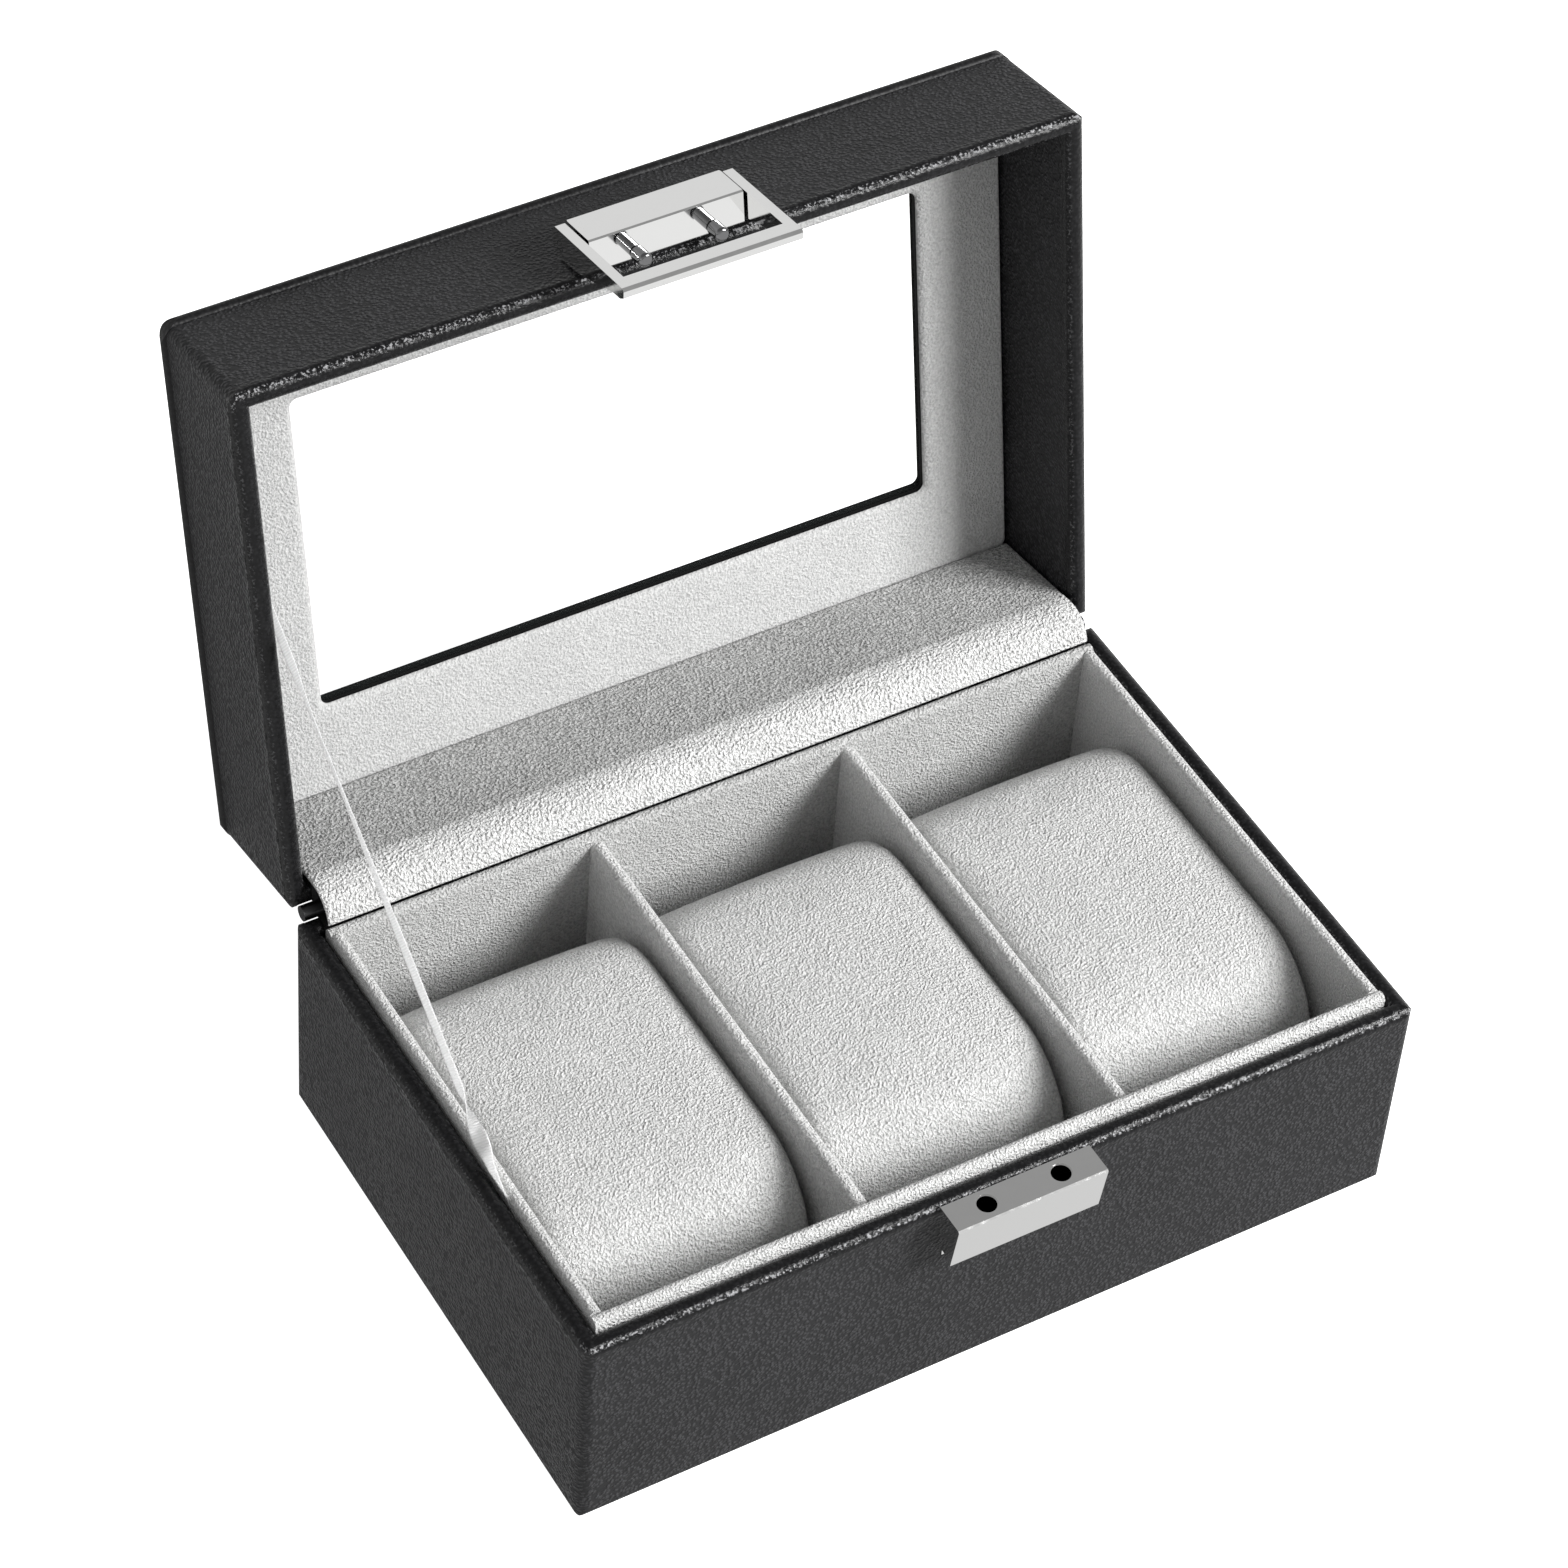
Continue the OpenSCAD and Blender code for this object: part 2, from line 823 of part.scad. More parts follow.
// Where the ribbon leaves the base, and where it meets the open lid.
ribbon_foot = [-ribbon_x, -half_d + ribbon_base_front, rim_z];
lid_dy = -half_d + ribbon_lid_front - hinge_y;
lid_dz = lid_rim_z + ribbon_up - hinge_z;
ribbon_head = [
  -ribbon_x,
  hinge_y + lid_dy * cos(open_angle) + lid_dz * sin(open_angle),
  hinge_z - lid_dy * sin(open_angle) + lid_dz * cos(open_angle)
];
ribbon_run = ribbon_head - ribbon_foot;
ribbon_dir = ribbon_run / norm(ribbon_run);
ribbon_side = [0, -ribbon_dir[2], ribbon_dir[1]];
// Half a turn of twist, taken up just above the foot, where the ribbon gathers.
function ribbon_turn(t) =
  180 * min(1, max(0, (t - ribbon_twist_start) / ribbon_twist_share));
ribbon_twist_end = ribbon_twist_start + ribbon_twist_share;
ribbon_stops = concat(
  [0, ribbon_twist_start / 2],
  [for (i = [0 : ribbon_twist_rings])
    ribbon_twist_start + ribbon_twist_share * i / ribbon_twist_rings],
  [for (i = [1 : ribbon_rest_rings])
    ribbon_twist_end + (1 - ribbon_twist_end) * i / ribbon_rest_rings]
);
function ribbon_point(t) = ribbon_foot - ribbon_dir * ribbon_tail
  + ribbon_dir * (norm(ribbon_run) + 2 * ribbon_tail) * t;
function ribbon_ring(t) =
  let (a = ribbon_turn(t),
       across = ribbon_side * cos(a) + [1, 0, 0] * sin(a),
       through = [1, 0, 0] * cos(a) - ribbon_side * sin(a),
       half = ribbon_width / 2 * (1 - ribbon_gather * sin(a)),
       c = ribbon_point(t))
  [
    c - across * half - through * ribbon / 2,
    c + across * half - through * ribbon / 2,
    c + across * half + through * ribbon / 2,
    c - across * half + through * ribbon / 2
  ];

module ribbon_stay() {
  n = len(ribbon_stops);
  points = [for (t = ribbon_stops) for (p = ribbon_ring(t)) p];
  sides = [
    for (i = [0 : n - 2])
      for (k = [0 : 3])
        for (half = [0, 1])
          let (a = 4 * i + k, b = 4 * i + (k + 1) % 4)
          half == 0 ? [a, a + 4, b] : [b, a + 4, b + 4]
  ];
  last = 4 * (n - 1);
  ends = [[0, 1, 2], [0, 2, 3], [last, last + 2, last + 1], [last, last + 3, last + 2]];
  color("white")
    polyhedron(points = points, faces = concat(sides, ends));
}

// ---- clasp ----

// The lid block: round upper corners, bores for the locating and pivot pins.
module clasp_lid_block() {
  color("lightgray")
    opened()
      difference() {
        intersection() {
          along_y(face_y - block_depth, face_y)
            union() {
              translate([-block_width / 2, block_z])
                square([block_width, block_height - block_corner]);
              translate([-block_width / 2 + block_corner, block_top - 2 * block_corner])
                square([block_width - 2 * block_corner, 2 * block_corner]);
              for (s = [-1, 1])
                translate([s * (block_width / 2 - block_corner), block_top - block_corner])
                  circle(r = block_corner);
            }
          along_x(block_width + 2 * eps)
            polygon([
              [face_y, block_z],
              [face_y - block_depth + chamfer, block_z],
              [face_y - block_depth, block_z + chamfer],
              [face_y - block_depth, block_top - 3 * chamfer],
              [face_y - block_depth + 3 * chamfer, block_top],
              [face_y, block_top]
            ]);
        }
        for (s = [-1, 1]) {
          translate([s * pin_spacing / 2, pin_y, block_z - eps])
            cylinder(h = pin_grip + eps, d = pin_diameter * 0.7 + 2 * screw_fit);
          translate([s * block_width / 2, pivot_y, pivot_z])
            rotate([0, -s * 90, 0])
              translate([0, 0, -eps])
                cylinder(h = pivot_grip + eps, d = pivot_diameter + 2 * screw_fit);
        }
        at_clasp_screws(clasp_screw_lid_z)
          cylinder(h = leather + board + clasp_screw_depth + screw_fit, d = clasp_screw + 2 * screw_fit);
      }
}

// A locating pin: a thin root, a waist, and a body with a domed tip.
module clasp_locating_pins() {
  r = pin_diameter / 2;
  color("lightgray")
    opened()
      for (s = [-1, 1])
        translate([s * pin_spacing / 2, pin_y, block_z])
          mirror([0, 0, 1])
            rotate_extrude() {
              translate([0, screw_fit - pin_grip])
                square([r * 0.7, pin_grip - screw_fit]);
              square([r * 0.88, pin_length * 0.38]);
              square([r * 0.66, pin_length * 0.6]);
              translate([0, pin_length * 0.48])
                square([r, pin_length * 0.52 - r * 0.5]);
              square([r * 0.5, pin_length]);
              translate([r * 0.5, pin_length - r * 0.5])
                intersection() {
                  circle(r = r * 0.5);
                  square(r);
                }
            }
}

module clasp_pivot_pins() {
  color("lightgray")
    opened()
      for (s = [-1, 1])
        translate([s * (block_width / 2 - pivot_grip + screw_fit), pivot_y, pivot_z])
          rotate([0, s * 90, 0])
            cylinder(h = pivot_grip - screw_fit + arm_gap + arm_width, d = pivot_diameter);
}

// The side of a frame arm, with the pivot at its origin: a round end at the
// pivot, a deep cheek beside the block, and a taper down to the bar.
module arm_profile() {
  circle(r = hub_r);
  polygon([
    [flap_front, 1.6],
    [flap_front + 0.6, 2.3],
    [0, hub_r],
    [hub_r, 0],
    [hub_r - 0.3, -cheek_drop],
    [bar_back, bar_top],
    [bar_back, bar_bottom + 1.6],
    [bar_back - 0.7, bar_bottom + 0.2],
    [flap_front + bar_chamfer, bar_bottom],
    [flap_front, bar_bottom + bar_chamfer]
  ]);
}

// The section of the bar: chamfered outside, a round hook inside.
module bar_profile() {
  polygon([
    [flap_front, bar_top],
    [bar_back, bar_top],
    [bar_back, bar_bottom + 1.6],
    [bar_back - 0.7, bar_bottom + 0.2],
    [flap_front + bar_chamfer, bar_bottom],
    [flap_front, bar_bottom + bar_chamfer]
  ]);
}

module clasp_flap() {
  color("silver")
    opened()
      translate([0, pivot_y, pivot_z])
        difference() {
          union() {
            for (s = [-1, 1])
              translate([s * (arm_in + arm_out) / 2, 0, 0])
                along_x(arm_width)
                  arm_profile();
            along_x(2 * arm_in + arm_width)
              bar_profile();
          }
          rotate([0, 90, 0])
            cylinder(h = 2 * arm_out + 2 * eps, d = pivot_diameter + 4 * screw_fit, center = true);
        }
}

// The base block: a face that leans in, two holes, and a groove underneath.
module clasp_base_block() {
  groove_y = face_y - keeper_depth * 0.42;
  color("lightgray")
    difference() {
      along_x(block_width)
        polygon([
          [face_y, keeper_z],
          [face_y - keeper_depth + keeper_lean, keeper_z],
          [face_y - keeper_depth, base_height - chamfer],
          [face_y - keeper_depth + chamfer, base_height],
          [face_y, base_height]
        ]);
      for (s = [-1, 1])
        translate([s * pin_spacing / 2, pin_y, base_height - pin_hole]) {
          cylinder(h = pin_hole + eps, d = hole_diameter);
          translate([0, 0, pin_hole - 0.25])
            cylinder(h = eps, d = hole_diameter + 0.4);
        }
      along_x(block_width + 2 * eps)
        translate([groove_y, keeper_z])
          square([1.2, 2.4], center = true);
      at_clasp_screws(clasp_screw_base_z)
        cylinder(h = leather + board + clasp_screw_depth + screw_fit, d = clasp_screw + 2 * screw_fit);
    }
}

// The screws of a clasp block: the head lies sunk in the wall board.
module clasp_screws(z) {
  at_clasp_screws(z) {
    cylinder(h = clasp_screw_cap - screw_fit, d = clasp_screw_head);
    cylinder(h = leather + board + clasp_screw_depth, d = clasp_screw);
  }
}

module clasp_lid_screws() {
  color("silver")
    opened()
      clasp_screws(clasp_screw_lid_z);
}

module clasp_base_screws() {
  color("silver")
    clasp_screws(clasp_screw_base_z);
}

base_front_board();
base_back_board();
base_left_board();
base_right_board();
base_bottom_board();
base_leather();
base_underside_cloth();
lining_front();
lining_back();
lining_left();
lining_right();
lining_floor();
divider_left();
divider_right();
cushion_left();
cushion_middle();
cushion_right();
lid_front_board();
lid_back_board();
lid_left_board();
lid_right_board();
lid_leather();
top_panel_board();
top_panel_leather();
window_pane();
window_frame_board();
hinge_left_base_leaf();
hinge_right_base_leaf();
hinge_left_lid_leaf();
hinge_right_lid_leaf();
hinge_left_pin();
hinge_right_pin();
hinge_base_screws();
hinge_lid_screws();
hinge_cover();
ribbon_stay();
clasp_lid_block();
clasp_locating_pins();
clasp_pivot_pins();
clasp_flap();
clasp_base_block();
clasp_lid_screws();
clasp_base_screws();
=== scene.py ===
"""A covered watch box that stands open: its finishes, its soft goods and its studio.

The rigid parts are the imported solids. This script dresses them and makes what is
soft as its own pieces: the cushions, the velvet frame round the window, the velvet
that covers the hinges and the satin ribbon that stays the lid. The sizes of the
pieces are in millimetres and turn to metres where they enter a mesh or a material;
the studio's are in metres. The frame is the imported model's: the front faces -Y and
+Z is up.
"""

import logging
import math
from collections.abc import Sequence
from dataclasses import dataclass, field
from enum import Enum
from typing import Any

import bmesh
import bpy
import numpy as np
from mathutils import Matrix, Vector


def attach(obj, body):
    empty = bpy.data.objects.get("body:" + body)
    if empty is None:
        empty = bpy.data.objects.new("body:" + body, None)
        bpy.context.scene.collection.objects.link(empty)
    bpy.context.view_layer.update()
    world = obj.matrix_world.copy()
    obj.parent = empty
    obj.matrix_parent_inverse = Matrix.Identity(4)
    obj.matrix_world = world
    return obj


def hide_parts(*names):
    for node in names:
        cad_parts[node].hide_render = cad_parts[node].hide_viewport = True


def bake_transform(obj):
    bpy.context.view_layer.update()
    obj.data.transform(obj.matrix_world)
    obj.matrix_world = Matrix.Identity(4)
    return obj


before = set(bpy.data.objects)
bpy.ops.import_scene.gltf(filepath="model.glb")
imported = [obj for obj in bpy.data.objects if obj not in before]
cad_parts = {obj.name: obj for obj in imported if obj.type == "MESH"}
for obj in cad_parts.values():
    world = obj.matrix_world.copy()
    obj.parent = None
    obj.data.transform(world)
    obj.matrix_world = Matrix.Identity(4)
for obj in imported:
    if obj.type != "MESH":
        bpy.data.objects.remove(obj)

LOG = logging.getLogger("watch_box")
MM = 0.001
Array = np.ndarray
Point = tuple[float, float, float]
Material = bpy.types.Material
Node = bpy.types.Node
Piece = bpy.types.Object
Socket = bpy.types.NodeSocket
Tree = bpy.types.NodeTree
NOISE_LOW, NOISE_HIGH = 0.3, 0.7  # nearly all of a noise texture's values lie between
WAVES_PER_UNIT = 3.18  # the bands of a wave texture in one unit, at a scale of 1
END_POINTS = 8  # the points that a rounded end takes
PITCH = 53.267  # from one cushion's middle to the next, in millimetres


# ---- lengths that the solids and the soft pieces share, in millimetres ----


@dataclass(frozen=True)
class BoxSizes:
    """The box's main lengths, as in the part's source, in millimetres."""

    half_width: float = 85.0
    half_depth: float = 55.0
    rim: float = 47.0  # the height of the base's rim
    lid_rim: float = 47.6  # the height of the shut lid's rim
    frame_face: float = 70.6  # the height of the velvet frame's face, on the shut lid
    pane_face: float = 72.5  # the same for the window pane
    window_half_x: float = 64.4
    window_half_y: float = 34.4
    window_shift: float = 1.6  # how far the window stands towards the front
    hinge_y: float = 55.85
    hinge_z: float = 47.3
    open_angle: float = 101.0  # degrees from shut to open

    def opened(self, points: Array) -> Array:
        """Turn points of the shut lid to where the lid stands open.

        The lid turns about the line y = hinge_y, z = hinge_z, through the open angle,
        so its front edge comes up and back.

        Args:
            points: an array whose last axis is x, y and z, in millimetres.

        Returns:
            The turned points, in the same shape.
        """
        angle = math.radians(self.open_angle)
        across = points[..., 1] - self.hinge_y
        up = points[..., 2] - self.hinge_z
        turned = np.array(points, float)
        turned[..., 1] = self.hinge_y + across * math.cos(angle) + up * math.sin(angle)
        turned[..., 2] = self.hinge_z - across * math.sin(angle) + up * math.cos(angle)
        return turned


BOX = BoxSizes()


# ---- small tools ----


def linear(hex_colour: str) -> tuple[float, float, float, float]:
    """Turn an sRGB hex colour into linear light.

    Args:
        hex_colour: six hex digits after a hash.

    Returns:
        Red, green, blue and an alpha of 1.
    """
    parts = [int(hex_colour[i : i + 2], 16) / 255 for i in (1, 3, 5)]
    light = [c / 12.92 if c <= 0.04045 else ((c + 0.055) / 1.055) ** 2.4 for c in parts]
    return (light[0], light[1], light[2], 1.0)


def add_node(
    tree: Tree,
    kind: str,
    inputs: dict[str | int, Any] | None = None,
    **settings: Any,
) -> Node:
    """Add a node, with its settings, its values and its links.

    Args:
        tree: the material's or world's node tree.
        kind: the node's type name, less the ShaderNode that it starts with.
        inputs: for each input, by name or place, a value or the socket that feeds it.
        settings: the node's own properties.

    Returns:
        The new node.
    """
    node = tree.nodes.new("ShaderNode" + kind)
    for name, value in settings.items():
        setattr(node, name, value)
    for name, value in (inputs or {}).items():
        if isinstance(value, Socket):
            tree.links.new(value, node.inputs[name])
        else:
            node.inputs[name].default_value = value
    return node


def ramp(node: Node, stops: Sequence[tuple[float, float]]) -> Socket:
    """Set a colour ramp to grey stops.

    Args:
        node: the ramp node.
        stops: places from 0 to 1, in order, each with its grey.

    Returns:
        The ramp's colour socket.
    """
    band = node.color_ramp
    while len(band.elements) < len(stops):
        band.elements.new(1.0)
    for element, (place, grey) in zip(band.elements, stops):
        element.position = place
        element.color = (grey, grey, grey, 1.0)
    return node.outputs["Color"]


def fresh_material(name: str, **values: Any) -> tuple[Material, Node]:
    """Make a material whose constant values sit on the shader's own sockets.

    Args:
        name: the finish's name.
        values: for each shader input, with underscores for spaces, its value.

    Returns:
        The material and its shader node.
    """
    material = bpy.data.materials.new(name)
    material.use_nodes = True
    shader = material.node_tree.nodes["Principled BSDF"]
    for key, value in values.items():
        shader.inputs[key.replace("_", " ")].default_value = value
    return material, shader


def tinted(tree: Tree, low: str | Socket, high: str, amount: Socket) -> Socket:
    """Mix two colours by an amount that varies over the surface.

    Args:
        tree: the node tree.
        low: the colour at 0, in hex or as the socket that gives it.
        high: the colour at 1, in hex.
        amount: the socket of the amount.

    Returns:
        The mixed colour's socket.
    """
    start = low if isinstance(low, Socket) else linear(low)
    colours = {0: amount, "A": start, "B": linear(high)}
    return add_node(tree, "Mix", colours, data_type="RGBA").outputs["Result"]


def colour_base(tree: Tree, shader: Node, high: str, amount: Socket, low: str = "") -> None:
    """Colour a shader: two hex colours, or one over the colour that it already has.

    Args:
        tree: the node tree.
        shader: the material's shader.
        high: the colour where the amount is 1, in hex.
        amount: the socket of the amount.
        low: the colour where it is 0, in hex, or nothing for the shader's own colour.
    """
    base = shader.inputs["Base Color"]
    tree.links.new(tinted(tree, low or base.links[0].from_socket, high, amount), base)


def grid_quads(rows: int, columns: int, wrap_rows: bool, wrap_columns: bool) -> Array:
    """List the faces of a grid whose vertices run row by row.

    Args:
        rows: how many rows.
        columns: how many vertices in a row.
        wrap_rows: whether the last row joins the first.
        wrap_columns: whether a row's last vertex joins its first.

    Returns:
        One row of four vertex numbers for each face.
    """
    i = np.arange(rows if wrap_rows else rows - 1)[:, None]
    j = np.arange(columns if wrap_columns else columns - 1)[None, :]
    i_next, j_next = (i + 1) % rows, (j + 1) % columns
    quads = np.stack(
        np.broadcast_arrays(
            i * columns + j, i_next * columns + j, i_next * columns + j_next, i * columns + j_next
        ),
        axis=-1,
    )
    return quads.reshape(-1, 4)


def link_mesh(name: str, points: Array, quads: Array, merge: float = 1e-7) -> Piece:
    """Make an object from points in millimetres, closed, with its faces outwards.

    Args:
        name: the piece's name.
        points: the vertices, one row each, in millimetres.
        quads: the faces' vertex numbers.
        merge: vertices closer than this, in metres, become one.

    Returns:
        The new object, at the origin, smooth shaded.
    """
    mesh = bpy.data.meshes.new(name)
    mesh.from_pydata((points.reshape(-1, 3) * MM).tolist(), [], quads.tolist())
    work = bmesh.new()
    work.from_mesh(mesh)
    bmesh.ops.remove_doubles(work, verts=work.verts, dist=merge)
    bmesh.ops.dissolve_degenerate(work, edges=work.edges, dist=merge)
    bmesh.ops.recalc_face_normals(work, faces=work.faces)
    work.to_mesh(mesh)
    work.free()
    mesh.shade_smooth()
    obj = bpy.data.objects.new(name, mesh)
    bpy.context.scene.collection.objects.link(obj)
    return obj


def padded_sheet(
    name: str,
    middle: Array,
    out: Array,
    half: Array,
    wrap_rows: bool = False,
) -> Piece:
    """Make a closed sheet with soft edges from its middle surface.

    Its two faces are the middle surface moved by half the thickness along the
    outward direction and against it. They meet where the thickness comes to nothing.

    Args:
        name: the piece's name.
        middle: the middle surface, rows by columns by 3, in millimetres.
        out: the unit direction from the middle to the upper face, in the same shape.
        half: half the thickness, rows by columns, in millimetres.
        wrap_rows: whether the last row joins the first.

    Returns:
        The new object.
    """
    rows, columns = half.shape
    upper = middle + out * half[..., None]
    lower = middle - out * half[..., None]
    quads = grid_quads(rows, columns, wrap_rows, False)
    quads = np.concatenate([quads, quads[:, ::-1] + rows * columns])
    points = np.concatenate([upper.reshape(-1, 3), lower.reshape(-1, 3)])
    return link_mesh(name, points, quads)


def rounded_end(distance: Array, radius: float) -> Array:
    """Give the height of a quarter-round edge, from 0 at the edge to 1 past the radius.

    The height is the root of 1 less the square of (1 less distance over radius).

    Args:
        distance: how far in from the edge.
        radius: the rounding's radius.

    Returns:
        The height at each distance.
    """
    inward = 1 - np.clip(distance / radius, 0, 1)
    return np.sqrt(np.clip(1 - inward**2, 0, 1))


def end_dense(count: int, length: float, radius: float) -> Array:
    """Space points along a length, close together near its two ends.

    Args:
        count: how many points in the middle stretch.
        length: the whole length.
        radius: the stretch at each end whose points follow a quarter arc.

    Returns:
        The distances from the start.
    """
    turn = np.linspace(0, math.pi / 2, END_POINTS + 1)[:-1]
    arc = radius * (1 - np.cos(turn))
    middle = np.linspace(radius, length - radius, count)
    return np.concatenate([arc, middle, (length - arc)[::-1]])


def read_rows(items: Any, what: str = "co") -> Array:
    """Read one vector of each vertex or face of a mesh.

    Args:
        items: the mesh's vertices or its faces.
        what: the vector's name, such as co for a place or normal.

    Returns:
        One row for each; places are in metres.
    """
    rows = np.empty(len(items) * 3)
    items.foreach_get(what, rows)
    return rows.reshape(-1, 3)


def write_points(piece: Piece, spots: Array) -> None:
    """Write a piece's vertices, in metres."""
    piece.data.vertices.foreach_set("co", spots.ravel())
    piece.data.update()


def bake_modifiers(piece: Piece) -> None:
    """Put what the modifiers make into the piece's mesh.

    Args:
        piece: the piece.
    """
    shown = piece.evaluated_get(bpy.context.evaluated_depsgraph_get())
    mesh = bpy.data.meshes.new_from_object(shown)
    piece.modifiers.clear()
    piece.data = mesh


def relax(piece: Piece, rounds: int) -> None:
    """Even out a mesh: each vertex goes half way to the mean of its neighbours.

    Args:
        piece: the piece.
        rounds: how many times.
    """
    edges = np.empty(len(piece.data.edges) * 2, int)
    piece.data.edges.foreach_get("vertices", edges)
    a, b = edges.reshape(-1, 2).T
    spots = read_rows(piece.data.vertices)
    count = np.bincount(np.concatenate([a, b]), minlength=len(spots))[:, None]
    for _ in range(rounds):
        total = np.zeros_like(spots)
        np.add.at(total, a, spots[b])
        np.add.at(total, b, spots[a])
        spots = (spots + total / count) / 2
    write_points(piece, spots)


# ---- finishes ----


class Rim(Enum):
    """Where a leather cover folds over a rim and crinkles, or ends at the window in a matt black
    cut edge, darkened as painted shade.
    """

    NONE = 0
    BASE = 1
    LID = 2
    WINDOW = 3


@dataclass(frozen=True)
class GrainedLeather:
    """Black imitation leather: polyurethane on cloth, embossed with a fine pebble grain.

    The pebbles give the eye a soft speckle of highlights on a dark satin ground, and
    a fold over a board's edge crinkles, with a broken line of painted highlights along it.
    """

    name: str = "pebbled_black_leather"
    dark: str = "#0c0c0d"
    light: str = "#4a4a4c"
    low_rough: float = 0.37
    high_rough: float = 0.48
    pebble_mm: float = 0.72  # an embossed cell
    pebble_height_mm: float = 0.26
    pebble_dome: tuple[tuple[float, float], ...] = ((0.1, 1.0), (0.62, 0.0))  # by distance
    pebble_stray: float = 0.6  # how far a cell's outline strays, in cells
    stray_scale: float = 900.0
    pebble_tint: float = 0.6  # how much of the light colour a crest takes
    patch_tint: float = 0.35  # the same for the cloudy patches
    patch_scale: float = 38.0
    wrinkle_mm: float = 2.4  # the long soft creases of the skin
    wrinkle_height_mm: float = 0.13
    fold_mm: float = 4.2  # how far from the rim the skin is stretched
    fold_full: float = 0.2  # the share of that where it is stretched most
    fold_rough: float = 0.15  # stretched skin over a fold is smoother
    rim_darkening: float = 0.75  # how much darker the colour is painted near the rim
    fold_grain: float = 0.15  # how much of the grain it keeps
    border_mm: float = 1.6  # how far the skin is stretched at the outer edge of the top
    band_full: float = 0.4  # the share of a narrow band that has its full strength
    crinkle_mm: float = 0.55  # from fold to fold along a rim
    crinkle_height_mm: float = 0.1
    crest: tuple[float, float] = (0.53, 0.6)  # the noise where a crest begins and is full
    glint_colour: str = "#a0a0a2"  # painted highlight: the light grey of the glints on the crests
    glint_below_mm: float = 0.65  # from the rim to the middle of the line of painted glints
    glint_half_mm: float = 0.45
    side_glints: float = 0.22  # how strong the painted glints are away from the front rims
    glint_front_mm: tuple[float, float] = (3.5, 2.5)  # in from the front, where the painted glints start to strengthen and are full
    # painted shade: the matt black of the window's cut edge, darker than the leather itself
    window_edge_shade: str = "#050505"
    edge_grow_mm: float = 0.2  # how far the painted edge reaches past the window
    rim: Rim = Rim.NONE

    def material(self) -> Material:
        """Build the leather's material.

        Returns:
            The material.
        """
        material, shader = fresh_material(self.name, Specular_IOR_Level=0.2, IOR=1.48)
        tree = material.node_tree
        place = add_node(tree, "TexCoord").outputs["Object"]
        pebble, grain = self.grain(tree, place)
        patches = add_node(
            tree, "TexNoise", {"Vector": place, "Scale": self.patch_scale, "Detail": 3.0}
        ).outputs["Fac"]
        mottle = add_node(
            tree, "Math", {0: patches, 1: self.patch_tint}, operation="MULTIPLY"
        ).outputs[0]
        tone = add_node(
            tree,
            "Math",
            {0: pebble, 1: self.pebble_tint, 2: mottle},
            operation="MULTIPLY_ADD",
        ).outputs[0]
        colour_base(tree, shader, self.light, tone, self.dark)
        shine = add_node(
            tree,
            "MapRange",
            {
                "Value": patches,
                "From Min": NOISE_LOW,
                "From Max": NOISE_HIGH,
                "To Min": self.low_rough,
                "To Max": self.high_rough,
            },
        ).outputs["Result"]
        if self.rim is Rim.WINDOW:
            self.stretch(tree, shader, grain, self.near_border(tree, place))
            shine = self.shade_window_edge(tree, place, shader, shine)
        elif self.rim is not Rim.NONE:
            below = self.below_rim(tree, place)
            near = add_node(
                tree,
                "MapRange",
                {
                    "Value": below,
                    "From Min": self.fold_mm * MM,
                    "From Max": self.fold_mm * self.fold_full * MM,
                },
                interpolation_type="SMOOTHSTEP",
            ).outputs["Result"]
            self.stretch(tree, shader, grain, near)
            grain = self.crinkle(tree, place, shader, grain, near, below)
            shine = add_node(
                tree, "Mix", {0: near, 2: shine, 3: self.fold_rough}, data_type="FLOAT"
            ).outputs[0]
        tree.links.new(shine, shader.inputs["Roughness"])
        tree.links.new(grain.outputs["Normal"], shader.inputs["Normal"])
        return material

    def grain(self, tree: Tree, place: Socket) -> tuple[Socket, Node]:
        """Emboss the pebbles on the creased skin.

        Args:
            tree: the node tree.
            place: the socket of the object's own coordinates.

        Returns:
            The socket of the pebbles' height, and the bump node that carries both.
        """
        stray = add_node(
            tree, "TexNoise", {"Vector": place, "Scale": self.stray_scale, "Detail": 2.0}
        ).outputs["Color"]
        bent = add_node(
            tree,
            "VectorMath",
            {0: stray, 1: (self.pebble_mm * self.pebble_stray * MM,) * 3, 2: place},
            operation="MULTIPLY_ADD",
        ).outputs[0]
        cells = add_node(
            tree,
            "TexVoronoi",
            {"Vector": bent, "Scale": 1 / (self.pebble_mm * MM), "Smoothness": 0.5},
            feature="SMOOTH_F1",
        ).outputs["Distance"]
        pebble = ramp(add_node(tree, "ValToRGB", {"Fac": cells}), self.pebble_dome)
        creases = add_node(
            tree,
            "TexNoise",
            {"Vector": place, "Scale": 1 / (self.wrinkle_mm * MM), "Detail": 2.0},
        ).outputs["Fac"]
        skin = add_node(
            tree, "Bump", {"Height": creases, "Distance": self.wrinkle_height_mm * MM}
        ).outputs["Normal"]
        embossed = add_node(
            tree,
            "Bump",
            {"Height": pebble, "Distance": self.pebble_height_mm * MM, "Normal": skin},
        )
        return pebble, embossed

    def shut_place(self, tree: Tree, place: Socket) -> Socket:
        """Turn a point of the open lid back to where it lies when the lid is shut.

        Args:
            tree: the node tree.
            place: the socket of the object's own coordinates.

        Returns:
            The socket of the turned coordinates.
        """
        turn = math.radians(BOX.open_angle)
        hinge = Vector((0.0, BOX.hinge_y * MM, BOX.hinge_z * MM))
        moved = hinge - Matrix.Rotation(turn, 3, "X") @ hinge
        shut = {"Vector": place, "Location": moved, "Rotation": (turn, 0.0, 0.0)}
        return add_node(tree, "Mapping", shut).outputs[0]

